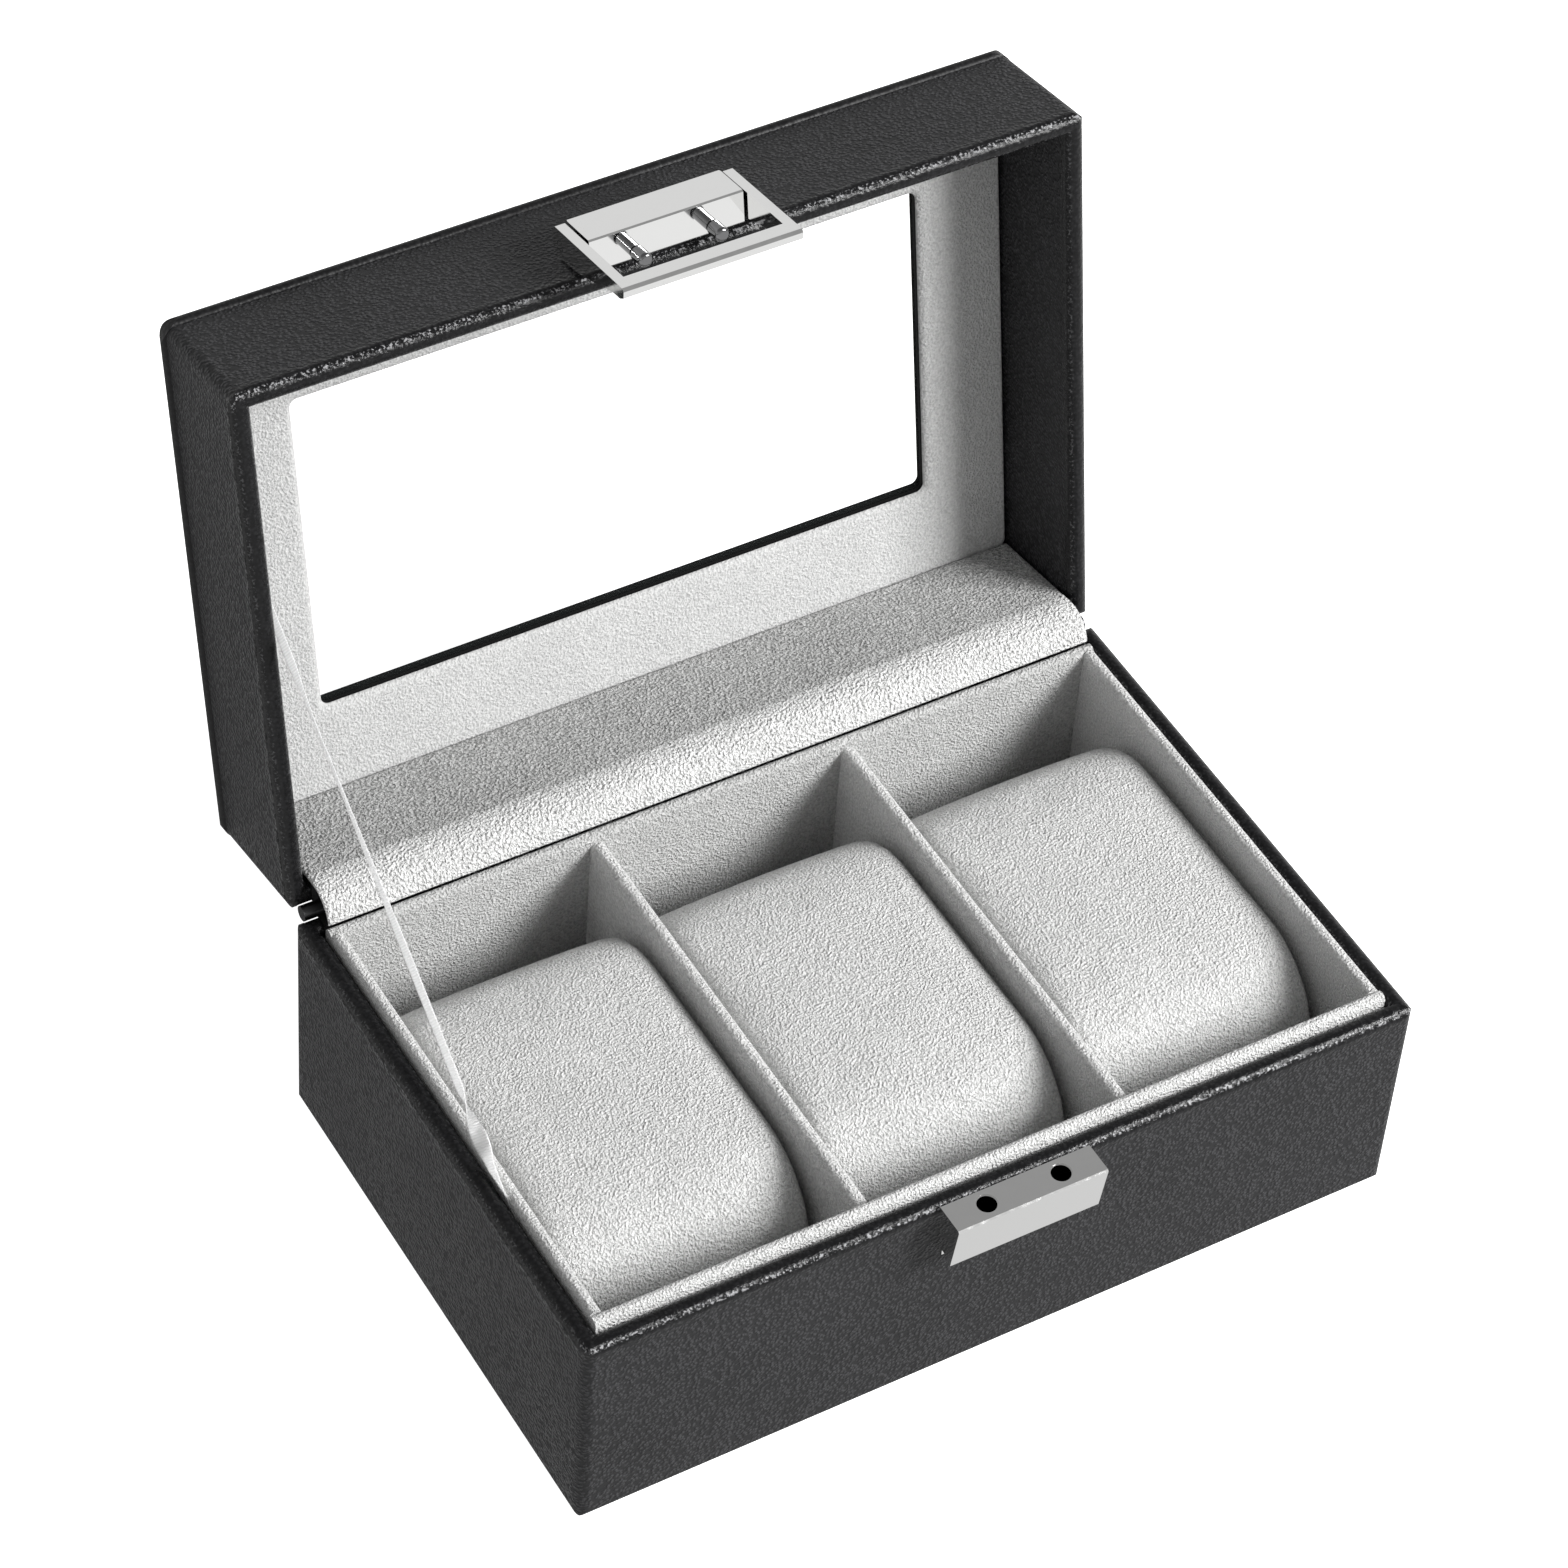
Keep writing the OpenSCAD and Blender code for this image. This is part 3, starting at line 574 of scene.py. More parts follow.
    def beside(self, tree: Tree, place: Socket, shift_y: float = 0.0) -> list[Socket]:
        """Measure how far a point lies from the shut lid's two middle planes.

        Args:
            tree: the node tree.
            place: the socket of the object's own coordinates.
            shift_y: how far in front of the lid's middle the second plane stands.

        Returns:
            The sockets of the distances in X and in Y, in metres.
        """
        centred = add_node(
            tree,
            "VectorMath",
            {0: self.shut_place(tree, place), 1: (0.0, shift_y * MM, 0.0)},
        ).outputs[0]
        sizes = add_node(tree, "VectorMath", {0: centred}, operation="ABSOLUTE")
        parts = add_node(tree, "SeparateXYZ", {0: sizes.outputs[0]}).outputs
        return [parts["X"], parts["Y"]]

    def shade_window_edge(self, tree: Tree, place: Socket, shader: Node, shine: Socket) -> Socket:
        """Paint the cut edge round the window matt black: the leather's own dark, deepened as
        painted shade.

        A point is on the edge where it lies within the window's rectangle, grown a
        little.

        Args:
            tree: the node tree.
            place: the socket of the object's own coordinates.
            shader: the material's shader, with its colour linked.
            shine: the socket of the skin's roughness.

        Returns:
            The socket of the roughness with the painted edge.
        """
        window = (BOX.window_half_x, BOX.window_half_y)
        within = [
            add_node(
                tree,
                "Math",
                {0: distance, 1: (half + self.edge_grow_mm) * MM},
                operation="LESS_THAN",
            ).outputs[0]
            for distance, half in zip(self.beside(tree, place, BOX.window_shift), window)
        ]
        edge = add_node(
            tree, "Math", {0: within[0], 1: within[1]}, operation="MULTIPLY"
        ).outputs[0]
        # painted shade on the window's cut edge
        colour_base(tree, shader, self.window_edge_shade, edge)
        painted = {0: edge, 2: shine, 3: 1.0}
        return add_node(tree, "Mix", painted, data_type="FLOAT").outputs[0]

    def below_rim(self, tree: Tree, place: Socket) -> Socket:
        """Measure how far a point lies from the rim, down the base or up the lid.

        Args:
            tree: the node tree.
            place: the socket of the object's own coordinates.

        Returns:
            The socket of the distance, in metres.
        """
        if self.rim is Rim.BASE:
            lying, rim_height, sign = place, BOX.rim, -1.0
        else:
            lying, rim_height, sign = self.shut_place(tree, place), BOX.lid_rim, 1.0
        height = add_node(tree, "SeparateXYZ", {0: lying}).outputs["Z"]
        return add_node(
            tree,
            "Math",
            {0: height, 1: sign, 2: -sign * rim_height * MM},
            operation="MULTIPLY_ADD",
        ).outputs[0]

    def near_border(self, tree: Tree, place: Socket) -> Socket:
        """Tell how near a point of the top is to the top's outer edge.

        Args:
            tree: the node tree.
            place: the socket of the object's own coordinates.

        Returns:
            A socket that is 1 at the outer edge and 0 away from it.
        """
        nears = [
            add_node(
                tree,
                "MapRange",
                {
                    "Value": distance,
                    "From Min": (half - self.border_mm) * MM,
                    "From Max": (half - self.border_mm * self.band_full) * MM,
                },
            ).outputs["Result"]
            for distance, half in zip(self.beside(tree, place), (BOX.half_width, BOX.half_depth))
        ]
        return add_node(tree, "Math", {0: nears[0], 1: nears[1]}, operation="MAXIMUM").outputs[0]

    def stretch(self, tree: Tree, shader: Node, grain: Node, near: Socket) -> None:
        """Flatten the grain where the skin is stretched over a rim, and paint its colour darker
        there.

        Args:
            tree: the node tree.
            shader: the material's shader, with its colour linked.
            grain: the bump node of the grain.
            near: the socket that is 1 at the rim.
        """
        flatter = {"Value": near, "To Min": 1.0, "To Max": self.fold_grain}
        kept = add_node(tree, "MapRange", flatter).outputs["Result"]
        tree.links.new(kept, grain.inputs["Strength"])
        share = add_node(
            tree, "Math", {0: near, 1: self.rim_darkening}, operation="MULTIPLY"
        ).outputs[0]
        colour_base(tree, shader, self.dark, share)

    def crinkle(
        self, tree: Tree, place: Socket, shader: Node, grain: Node, near: Socket, below: Socket
    ) -> Node:
        """Add the small folds across a rim, which fade out away from it.

        Just past the rim the crests of the folds are painted light, as a narrow line of
        highlights that is strongest along the front.

        Args:
            tree: the node tree.
            place: the socket of the object's own coordinates.
            shader: the material's shader, with its colour linked.
            grain: the bump node of the grain.
            near: the socket that is 1 at the rim.
            below: the socket of the distance from the rim.

        Returns:
            The bump node that carries both.
        """
        scale = 1 / (self.crinkle_mm * MM)
        noise = {"Vector": place, "Scale": scale, "Detail": 3.0, "Roughness": 0.6}
        folds = add_node(tree, "TexNoise", noise).outputs["Fac"]
        lying = place if self.rim is Rim.BASE else self.shut_place(tree, place)
        front = [-(BOX.half_depth - inwards) * MM for inwards in self.glint_front_mm]
        off_line = add_node(
            tree, "Math", {0: below, 1: self.glint_below_mm * MM}, operation="SUBTRACT"
        ).outputs[0]
        away = add_node(tree, "Math", {0: off_line}, operation="ABSOLUTE").outputs[0]
        half = self.glint_half_mm * MM
        depth = add_node(tree, "SeparateXYZ", {0: lying}).outputs["Y"]
        # painted highlights: light glints on the crests of the folds, in a line just past the rim
        glints: Socket | float = 1.0
        for value, (low, high), least in (
            (away, (half, half * self.band_full), 0.0),
            (depth, front, self.side_glints),
            (folds, self.crest, 0.0),
        ):
            band = {"Value": value, "From Min": low, "From Max": high, "To Min": least}
            share = add_node(tree, "MapRange", band).outputs["Result"]
            glints = add_node(tree, "Math", {0: glints, 1: share}, operation="MULTIPLY").outputs[0]
        colour_base(tree, shader, self.glint_colour, glints)
        faded = add_node(tree, "Math", {0: folds, 1: near}, operation="MULTIPLY").outputs[0]
        height = {"Height": faded, "Distance": self.crinkle_height_mm * MM}
        return add_node(tree, "Bump", height | {"Normal": grain.outputs["Normal"]})


@dataclass(frozen=True)
class NappedVelvet:
    """Light grey velvet: a short polyester nap pressed into small soft cells.

    The nap scatters light at its edges, so the cloth glows where it turns away, and
    the pressed cells give the eye a fine hammered mottle.
    """

    name: str = "light_grey_velvet"
    # the default colours are the lining's, painted darker as the shade at the back and the floor
    shade: str = "#a4a4a3"
    crown: str = "#e0e0df"
    cell_mm: float = 0.48
    cell_height_mm: float = 0.42
    cell_range: tuple[float, float] = (0.32, 0.68)  # the noise in a hollow and on a crown
    emboss: float = 2.5  # the bump is drawn deeper than the cells are, so that it shows
    stray: float = 0.8  # how far a cell's outline strays, in cells
    stray_size: float = 0.6  # how many strays there are along a cell
    fibre_mm: float = 0.16
    fibre_height_mm: float = 0.03
    patch_mm: float = 14.0  # where the nap has been brushed one way
    patch_share: float = 0.3
    lit_before_mm: float | None = None  # painted light: the cloth before this Y, where it bends to face the light, is painted lighter
    lit_fade_mm: float = 1.5
    painted_light_lift: float = 0.45  # how much nearer the crown's colour the painted light brings it
    painted_shade_lift: float = -0.15  # how much the painted shade on the flat behind it takes off

    def material(self) -> Material:
        """Build the velvet's material.

        Returns:
            The material.
        """
        material, shader = fresh_material(
            self.name,
            Roughness=0.95,
            Specular_IOR_Level=0.15,
            Sheen_Weight=0.25,
            Sheen_Roughness=0.45,
        )
        tree = material.node_tree
        place = add_node(tree, "TexCoord").outputs["Object"]
        bend = add_node(
            tree,
            "TexNoise",
            {"Vector": place, "Scale": self.stray_size / (self.cell_mm * MM), "Detail": 3.0},
        )
        bent = add_node(
            tree,
            "VectorMath",
            {0: bend.outputs["Color"], 1: (self.stray * self.cell_mm * MM,) * 3, 2: place},
            operation="MULTIPLY_ADD",
        )
        cells = add_node(
            tree,
            "TexNoise",
            {
                "Vector": bent.outputs[0],
                "Scale": 1 / (self.cell_mm * MM),
                "Detail": 2.0,
                "Roughness": 0.45,
            },
        ).outputs["Fac"]
        fibres = add_node(
            tree,
            "TexNoise",
            {"Vector": place, "Scale": 1 / (self.fibre_mm * MM), "Detail": 1.0},
        ).outputs["Fac"]
        patches = add_node(
            tree,
            "TexNoise",
            {"Vector": place, "Scale": 1 / (self.patch_mm * MM), "Detail": 3.0},
        ).outputs["Fac"]
        hollow, crown = self.cell_range
        spread = add_node(
            tree, "MapRange", {"Value": cells, "From Min": hollow, "From Max": crown}
        ).outputs["Result"]
        tone = add_node(
            tree, "Mix", {0: self.patch_share, 2: spread, 3: patches}, data_type="FLOAT"
        ).outputs[0]
        # painted light and shade: lighter on the bend before the Y, darker on the flat behind it
        if self.lit_before_mm is not None:
            lift = add_node(
                tree,
                "MapRange",
                {
                    "Value": add_node(tree, "SeparateXYZ", {0: place}).outputs["Y"],
                    "From Min": (self.lit_before_mm + self.lit_fade_mm) * MM,
                    "From Max": self.lit_before_mm * MM,
                    "To Min": self.painted_shade_lift,
                    "To Max": self.painted_light_lift,
                },
                interpolation_type="SMOOTHSTEP",
            ).outputs["Result"]
            tone = add_node(tree, "Math", {0: tone, 1: lift}, operation="ADD").outputs[0]
        colour_base(tree, shader, self.crown, tone, self.shade)
        bump = add_node(
            tree,
            "Bump",
            {"Height": cells, "Distance": self.cell_height_mm * self.emboss * MM},
        )
        fine = add_node(
            tree,
            "Bump",
            {
                "Height": fibres,
                "Distance": self.fibre_height_mm * MM,
                "Normal": bump.outputs["Normal"],
            },
        )
        tree.links.new(fine.outputs["Normal"], shader.inputs["Normal"])
        return material


@dataclass(frozen=True)
class SatinRibbon:
    """White polyester satin: long floats along the ribbon over a ribbed weft.

    The ribs are a third of a millimetre apart, drawn half a millimetre apart so that
    they show, and give the eye a soft cross-striped sheen. It lets light through.
    """

    name: str = "white_satin"
    shade: str = "#e9e9e7"
    crown: str = "#fbfbfa"
    rib_mm: float = 0.5
    rib_height_mm: float = 0.05
    rib_stray: float = 0.6
    glow_mm: float = 4.0  # how far light spreads in the cloth

    def material(self) -> Material:
        """Build the ribbon's material, which follows the piece's own UV map in metres.

        Returns:
            The material.
        """
        material, shader = fresh_material(
            self.name,
            Roughness=0.38,
            Sheen_Weight=0.6,
            Sheen_Roughness=0.3,
            Anisotropic=0.5,
            Subsurface_Weight=1.0,
            Subsurface_Radius=(1.0, 1.0, 1.0),
            Subsurface_Scale=self.glow_mm * MM,
        )
        tree = material.node_tree
        along = add_node(tree, "UVMap", uv_map="ribbon").outputs[0]
        ribs = add_node(
            tree,
            "TexWave",
            {
                "Vector": along,
                "Scale": 1 / (self.rib_mm * MM) / WAVES_PER_UNIT,
                "Distortion": self.rib_stray,
            },
            bands_direction="X",
        ).outputs["Fac"]
        colour_base(tree, shader, self.crown, ribs, self.shade)
        bump = add_node(tree, "Bump", {"Height": ribs, "Distance": self.rib_height_mm * MM})
        tree.links.new(bump.outputs["Normal"], shader.inputs["Normal"])
        return material


@dataclass(frozen=True)
class BlindBores:
    """Two bores side by side in a block, each the half pitch from its middle."""

    half_pitch: float
    y: float
    radius: float
    top: float  # the height below which a point can be inside


@dataclass(frozen=True)
class PlatedMetal:
    """Nickel plate over cast or pressed metal, polished or left satin.

    Polished plate mirrors the room with a little orange peel; satin plate is drawn
    with fine brush lines along the box. The wall of a blind bore is painted black, as
    the shade down it.
    """

    name: str = "polished_nickel"
    colour: str = "#e9e9e8"
    low_rough: float = 0.05
    high_rough: float = 0.13
    peel_mm: float = 1.6
    peel_height_mm: float = 0.0012
    brushed: bool = False
    brush_length: float = 25.0  # how many times longer than broad a brush line is
    brush_finer: float = 8.0
    bores: BlindBores | None = None
    bore_shade_colour: str = "#060606"

    def material(self) -> Material:
        """Build the metal's material.

        Returns:
            The material.
        """
        material, shader = fresh_material(self.name, Base_Color=linear(self.colour), Metallic=1.0)
        tree = material.node_tree
        place = add_node(tree, "TexCoord").outputs["Object"]
        length, finer = (self.brush_length, self.brush_finer) if self.brushed else (1.0, 1.0)
        laid = add_node(tree, "Mapping", {"Vector": place, "Scale": (1 / length, 1.0, 1.0)})
        peel = add_node(
            tree,
            "TexNoise",
            {"Vector": laid.outputs[0], "Scale": finer / (self.peel_mm * MM), "Detail": 3.0},
        ).outputs["Fac"]
        rough = add_node(
            tree,
            "MapRange",
            {
                "Value": peel,
                "From Min": NOISE_LOW,
                "From Max": NOISE_HIGH,
                "To Min": self.low_rough,
                "To Max": self.high_rough,
            },
        ).outputs["Result"]
        tree.links.new(rough, shader.inputs["Roughness"])
        bump = add_node(tree, "Bump", {"Height": peel, "Distance": self.peel_height_mm * MM})
        tree.links.new(bump.outputs["Normal"], shader.inputs["Normal"])
        if self.bores is not None:
            # painted shade: the walls of the bores are coloured black
            inside = self.in_bore(tree, place, self.bores)
            colour_base(tree, shader, self.bore_shade_colour, inside, self.colour)
        return material

    def in_bore(self, tree: Tree, place: Socket, bores: BlindBores) -> Socket:
        """Tell whether a point lies inside one of two blind bores.

        The bores stand at x = plus and minus the half pitch. A point is inside where its
        distance from the bore's axis is under the radius and it is below the top.

        Args:
            tree: the node tree.
            place: the socket of the object's own coordinates.
            bores: the two bores.

        Returns:
            A socket that is 1 inside and 0 outside.
        """
        axis = (bores.half_pitch * MM, bores.y * MM, 0.0)
        parts = add_node(tree, "SeparateXYZ", {0: place}).outputs
        beside = add_node(tree, "Math", {0: parts["X"]}, operation="ABSOLUTE")
        flat = add_node(tree, "CombineXYZ", {"X": beside.outputs[0], "Y": parts["Y"]})
        away = add_node(tree, "VectorMath", {0: flat.outputs[0], 1: axis}, operation="DISTANCE")
        limits = ((away.outputs["Value"], bores.radius), (parts["Z"], bores.top))
        near, below = (
            add_node(tree, "Math", {0: value, 1: limit * MM}, operation="LESS_THAN").outputs[0]
            for value, limit in limits
        )
        return add_node(tree, "Math", {0: near, 1: below}, operation="MULTIPLY").outputs[0]


@dataclass(frozen=True)
class ClearGlass:
    """Float glass 1.2 mm thick: clear, with a weak mirror and a trace of polish haze."""

    name: str = "clear_window"
    tint: str = "#3c4242"  # of what little the pane doesn't let through
    alpha: float = 0.08
    haze_scale: float = 60.0
    low_rough: float = 0.01
    high_rough: float = 0.05

    def material(self) -> Material:
        """Build the glass.

        Returns:
            The material.
        """
        material, shader = fresh_material(
            self.name, Base_Color=linear(self.tint), IOR=1.46, Alpha=self.alpha
        )
        tree = material.node_tree
        place = add_node(tree, "TexCoord").outputs["Object"]
        haze = add_node(
            tree, "TexNoise", {"Vector": place, "Scale": self.haze_scale, "Detail": 4.0}
        ).outputs["Fac"]
        levels = {"Value": haze, "To Min": self.low_rough, "To Max": self.high_rough}
        rough = add_node(tree, "MapRange", levels).outputs["Result"]
        tree.links.new(rough, shader.inputs["Roughness"])
        return material


@dataclass(frozen=True)
class PressedFibre:
    """A matt pressed sheet of fibres: the boards in the walls or the cloth underneath.

    It gives the eye a dull felted speckle with no shine.
    """

    name: str = "fibreboard"
    shade: str = "#8a6f4f"
    crown: str = "#b3966f"
    fibre_mm: float = 0.5
    fibre_height_mm: float = 0.06

    def material(self) -> Material:
        """Build the material.

        Returns:
            The material.
        """
        material, shader = fresh_material(self.name, Roughness=0.9, Specular_IOR_Level=0.2)
        tree = material.node_tree
        place = add_node(tree, "TexCoord").outputs["Object"]
        fibres = add_node(
            tree,
            "TexNoise",
            {
                "Vector": place,
                "Scale": 1 / (self.fibre_mm * MM),
                "Detail": 5.0,
                "Roughness": 0.7,
                "Distortion": 1.5,
            },
        ).outputs["Fac"]
        colour_base(tree, shader, self.crown, fibres, self.shade)
        bump = add_node(tree, "Bump", {"Height": fibres, "Distance": self.fibre_height_mm * MM})
        tree.links.new(bump.outputs["Normal"], shader.inputs["Normal"])
        return material


Finish = GrainedLeather | NappedVelvet | SatinRibbon | PlatedMetal | ClearGlass | PressedFibre


def made(finish: Finish) -> Any:
    """Make a finish's material at the moment when the box's finishes are gathered."""
    return field(default_factory=finish.material)


@dataclass
class Finishes:
    """All the finishes of the box, each made once."""

    base_leather: Material = made(GrainedLeather(name="base_leather", rim=Rim.BASE))
    lid_leather: Material = made(GrainedLeather(name="lid_leather", rim=Rim.LID))
    panel_leather: Material = made(GrainedLeather(name="panel_leather", rim=Rim.WINDOW))
    # the lining's velvet at the back and the floor, painted darker as shade
    velvet: Material = made(NappedVelvet())
    frame_velvet: Material = made(
        NappedVelvet(name="frame_velvet", shade="#b0b0b0", crown="#dadad9", cell_height_mm=0.18)
    )
    # painted shade: the black on the frame's cut, deepening the window's edge as shade
    frame_cut_shade: Material = made(
        PressedFibre(name="black_cut_edge", shade="#050505", crown="#141414", fibre_mm=0.3)
    )
    cushion_velvet: Material = made(
        NappedVelvet(name="cushion_velvet", shade="#c2c2c1", crown="#f6f6f5", cell_mm=0.46)
    )
    # painted light on the cover's bend, painted shade on its flat
    cover_velvet: Material = made(
        NappedVelvet(
            name="cover_velvet",
            shade="#9c9c9b",
            crown="#f4f4f3",
            cell_mm=0.55,
            cell_height_mm=0.7,
            lit_before_mm=57.6,
        )
    )
    ribbon: Material = made(SatinRibbon())
    nickel: Material = made(PlatedMetal())
    pin_steel: Material = made(PlatedMetal(name="bright_steel", colour="#7c7c7d", low_rough=0.04))
    # painted shade down the clasp's two bores
    bored_nickel: Material = made(
        PlatedMetal(
            name="bored_nickel", bores=BlindBores(half_pitch=7.6, y=-58.0, radius=1.93, top=46.7)
        )
    )
    steel: Material = made(
        PlatedMetal(
            name="blackened_steel", colour="#545455", low_rough=0.28, high_rough=0.42, brushed=True
        )
    )
    glass: Material = made(ClearGlass())
    board: Material = made(PressedFibre())
    cloth: Material = made(
        PressedFibre(name="black_nonwoven", shade="#141414", crown="#303030", fibre_mm=0.35)
    )


def dress(material: Material, *names: str) -> None:
    """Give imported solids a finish.

    Args:
        material: the finish.
        names: the solids' names.
    """
    for name in names:
        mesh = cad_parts[name].data
        mesh.materials.clear()
        mesh.materials.append(material)
    LOG.info("dressed %d solids in %s", len(names), material.name)


def settle(piece: Piece, material: Material, stands_for: str) -> None:
    """Finish a new piece: its material and the solid it stands for.

    Args:
        piece: the piece.
        material: its finish.
        stands_for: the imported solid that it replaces.
    """
    piece.data.materials.append(material)
    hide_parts(stands_for)
    LOG.info("made %s with %d faces", piece.name, len(piece.data.polygons))


# ---- the case: what is rigid ----


@dataclass
class Case:
    """The covered boards of the base and of the lid, with the window."""

    boards: tuple[str, ...] = (
        "base_front_board",
        "base_back_board",
        "base_left_board",
        "base_right_board",
        "base_bottom_board",
        "lid_front_board",
        "lid_back_board",
        "lid_left_board",
        "lid_right_board",
        "top_panel_board",
    )

    def build(self, finishes: Finishes) -> None:
        """Dress the leather covers, the boards under them, the cloth and the pane.

        Args:
            finishes: the box's finishes.
        """
        dress(finishes.board, *self.boards)
        dress(finishes.base_leather, "base_leather")
        dress(finishes.lid_leather, "lid_leather")
        dress(finishes.panel_leather, "top_panel_leather")
        dress(finishes.cloth, "base_underside_cloth")
        dress(finishes.glass, "window_pane")


@dataclass
class Metalwork:
    """The frame clasp, the two hinges and the screws."""

    clasp: tuple[str, ...] = ("clasp_lid_block", "clasp_pivot_pins", "clasp_flap")
    hinges: tuple[str, ...] = (
        "hinge_left_base_leaf",
        "hinge_right_base_leaf",
        "hinge_left_lid_leaf",
        "hinge_right_lid_leaf",
        "hinge_left_pin",
        "hinge_right_pin",
        "hinge_base_screws",
        "hinge_lid_screws",
        "clasp_lid_screws",
        "clasp_base_screws",
    )

    def build(self, finishes: Finishes) -> None:
        """Dress the bright clasp and the dark hinges.

        Args:
            finishes: the box's finishes.
        """
        dress(finishes.nickel, *self.clasp)
        dress(finishes.bored_nickel, "clasp_base_block")
        dress(finishes.pin_steel, "clasp_locating_pins")
        dress(finishes.steel, *self.hinges)


@dataclass
class Lining:
    """The velvet boards that line the base and part its three compartments."""

    light_boards: tuple[str, ...] = (
        "lining_front",
        "lining_left",
        "lining_right",
        "divider_left",
        "divider_right",
    )
    shaded_boards: tuple[str, ...] = ("lining_back", "lining_floor")

    def build(self, finishes: Finishes) -> None:
        """Dress the lining boards in velvet, painted darker at the back and the floor as shade.

        Args:
            finishes: the box's finishes.
        """
        dress(finishes.cushion_velvet, *self.light_boards)
        dress(finishes.velvet, *self.shaded_boards)


# ---- the window's velvet frame ----


@dataclass
class VelvetFrame:
    """The velvet board inside the lid that frames the window, soft at its edges."""

    opening: tuple[float, float] = (63.75, 32.85)  # half its length in X and in Y
    opening_centre: tuple[float, float] = (-0.85, -1.35)
    outer: tuple[float, float] = (80.9, 50.9)  # the same for the outer edge
    breadth: float = 17.2  # from the opening to the outer edge
    opening_round: float = 1.5
    outer_round: float = 0.7
    wall: float = 0.42  # the share of the thickness that is cut square at the opening
    corner: float = 1.6
    glue: float = 0.02  # the gap between the frame and the pane
    corner_points: int = 9
    side_points: int = 24
    breadth_points: int = 14
    upright: float = 0.3  # a cut face's normal has less than this along the lid's height
    cut_slack: float = 0.02

    def outline(self, out: Array) -> Array:
        """Carry a rounded rectangle outwards, corner by corner.

        Each corner is a quarter circle about a point that moves out with the side,
        so the two sides meet on the mitre. The opening's centre and half lengths fade
        into those of the outer edge. Straight sides join the corners.

        Args:
            out: the distances out from the opening.

        Returns:
            Points, round the opening by outwards by 2.
        """
        turn = np.linspace(0, math.pi / 2, self.corner_points)
        rings = []
        for quarter, (sx, sy) in enumerate(((1, 1), (-1, 1), (-1, -1), (1, -1))):
            angle = turn + quarter * math.pi / 2
            centre_x, centre_y = (
                sign * (inner + (outer - inner) * out / self.breadth - self.corner)
                + middle * (1 - out / self.breadth)
                for sign, inner, outer, middle in zip(
                    (sx, sy), self.opening, self.outer, self.opening_centre
                )
            )
            rings.append(
                np.stack(
                    [
                        centre_x[None, :] + self.corner * np.cos(angle)[:, None],
                        centre_y[None, :] + self.corner * np.sin(angle)[:, None],
                    ],
                    axis=-1,
                )
            )
        whole = []
        for ring, following in zip(rings, rings[1:] + rings[:1]):
            share = np.linspace(0, 1, self.side_points)[1:-1, None, None]
            whole += [ring, ring[-1:] * (1 - share) + following[:1] * share]
        return np.concatenate(whole)

    def build(self, finishes: Finishes) -> Piece:
        """Make the frame and set it in the open lid.

        Args:
            finishes: the box's finishes.

        Returns:
            The frame.
        """
        steps = end_dense(self.breadth_points, self.breadth, self.opening_round)
        out = np.concatenate([[0.0], steps])
        flat = self.outline(out)
        thick = BOX.pane_face - BOX.frame_face - self.glue
        edge = self.wall + (1 - self.wall) * rounded_end(out, self.opening_round)
        edge = edge * rounded_end(self.breadth - out, self.outer_round)
        edge[0] = 0.0
        half = np.broadcast_to(edge * thick / 2, flat.shape[:2])
        middle = np.concatenate([flat, (BOX.pane_face - self.glue - half)[..., None]], axis=-1)
        faces_down = np.broadcast_to(np.array([0.0, 0.0, -1.0]), middle.shape)
        tips = BOX.opened(middle + faces_down)
        middle = BOX.opened(middle)
        piece = padded_sheet("window_velvet_frame", middle, tips - middle, half, wrap_rows=True)
        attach(piece, "lid")
        settle(piece, finishes.frame_velvet, "window_frame_board")
        self.blacken_cut(piece, finishes.frame_cut_shade)
        return piece

    def blacken_cut(self, piece: Piece, material: Material) -> None:
        """Give the square cut round the opening its black edge: the board's dark cut, and the
        painted shade down the window's edge.

        A face is on the cut where it stands upright on the lid and its middle lies
        within the opening's rectangle.

        Args:
            piece: the frame.
            material: the finish of the cut.
        """
        piece.data.materials.append(material)
        corner, along_y, along_z = BOX.opened(np.array([[0.0, 0, 0], [0, 1, 0], [0, 0, 1]]))
        faces = piece.data.polygons
        middles = read_rows(faces, "center") / MM
        spots = np.stack([middles[:, 0], (middles - corner) @ (along_y - corner)], axis=-1)
        off_centre = np.abs(spots - self.opening_centre)
        inside = np.all(off_centre < np.array(self.opening) + self.cut_slack, axis=-1)
        standing = np.abs(read_rows(faces, "normal") @ (along_z - corner)) < self.upright
        faces.foreach_set("material_index", (inside & standing).astype(np.int32))


# ---- the cloth over the hinges ----


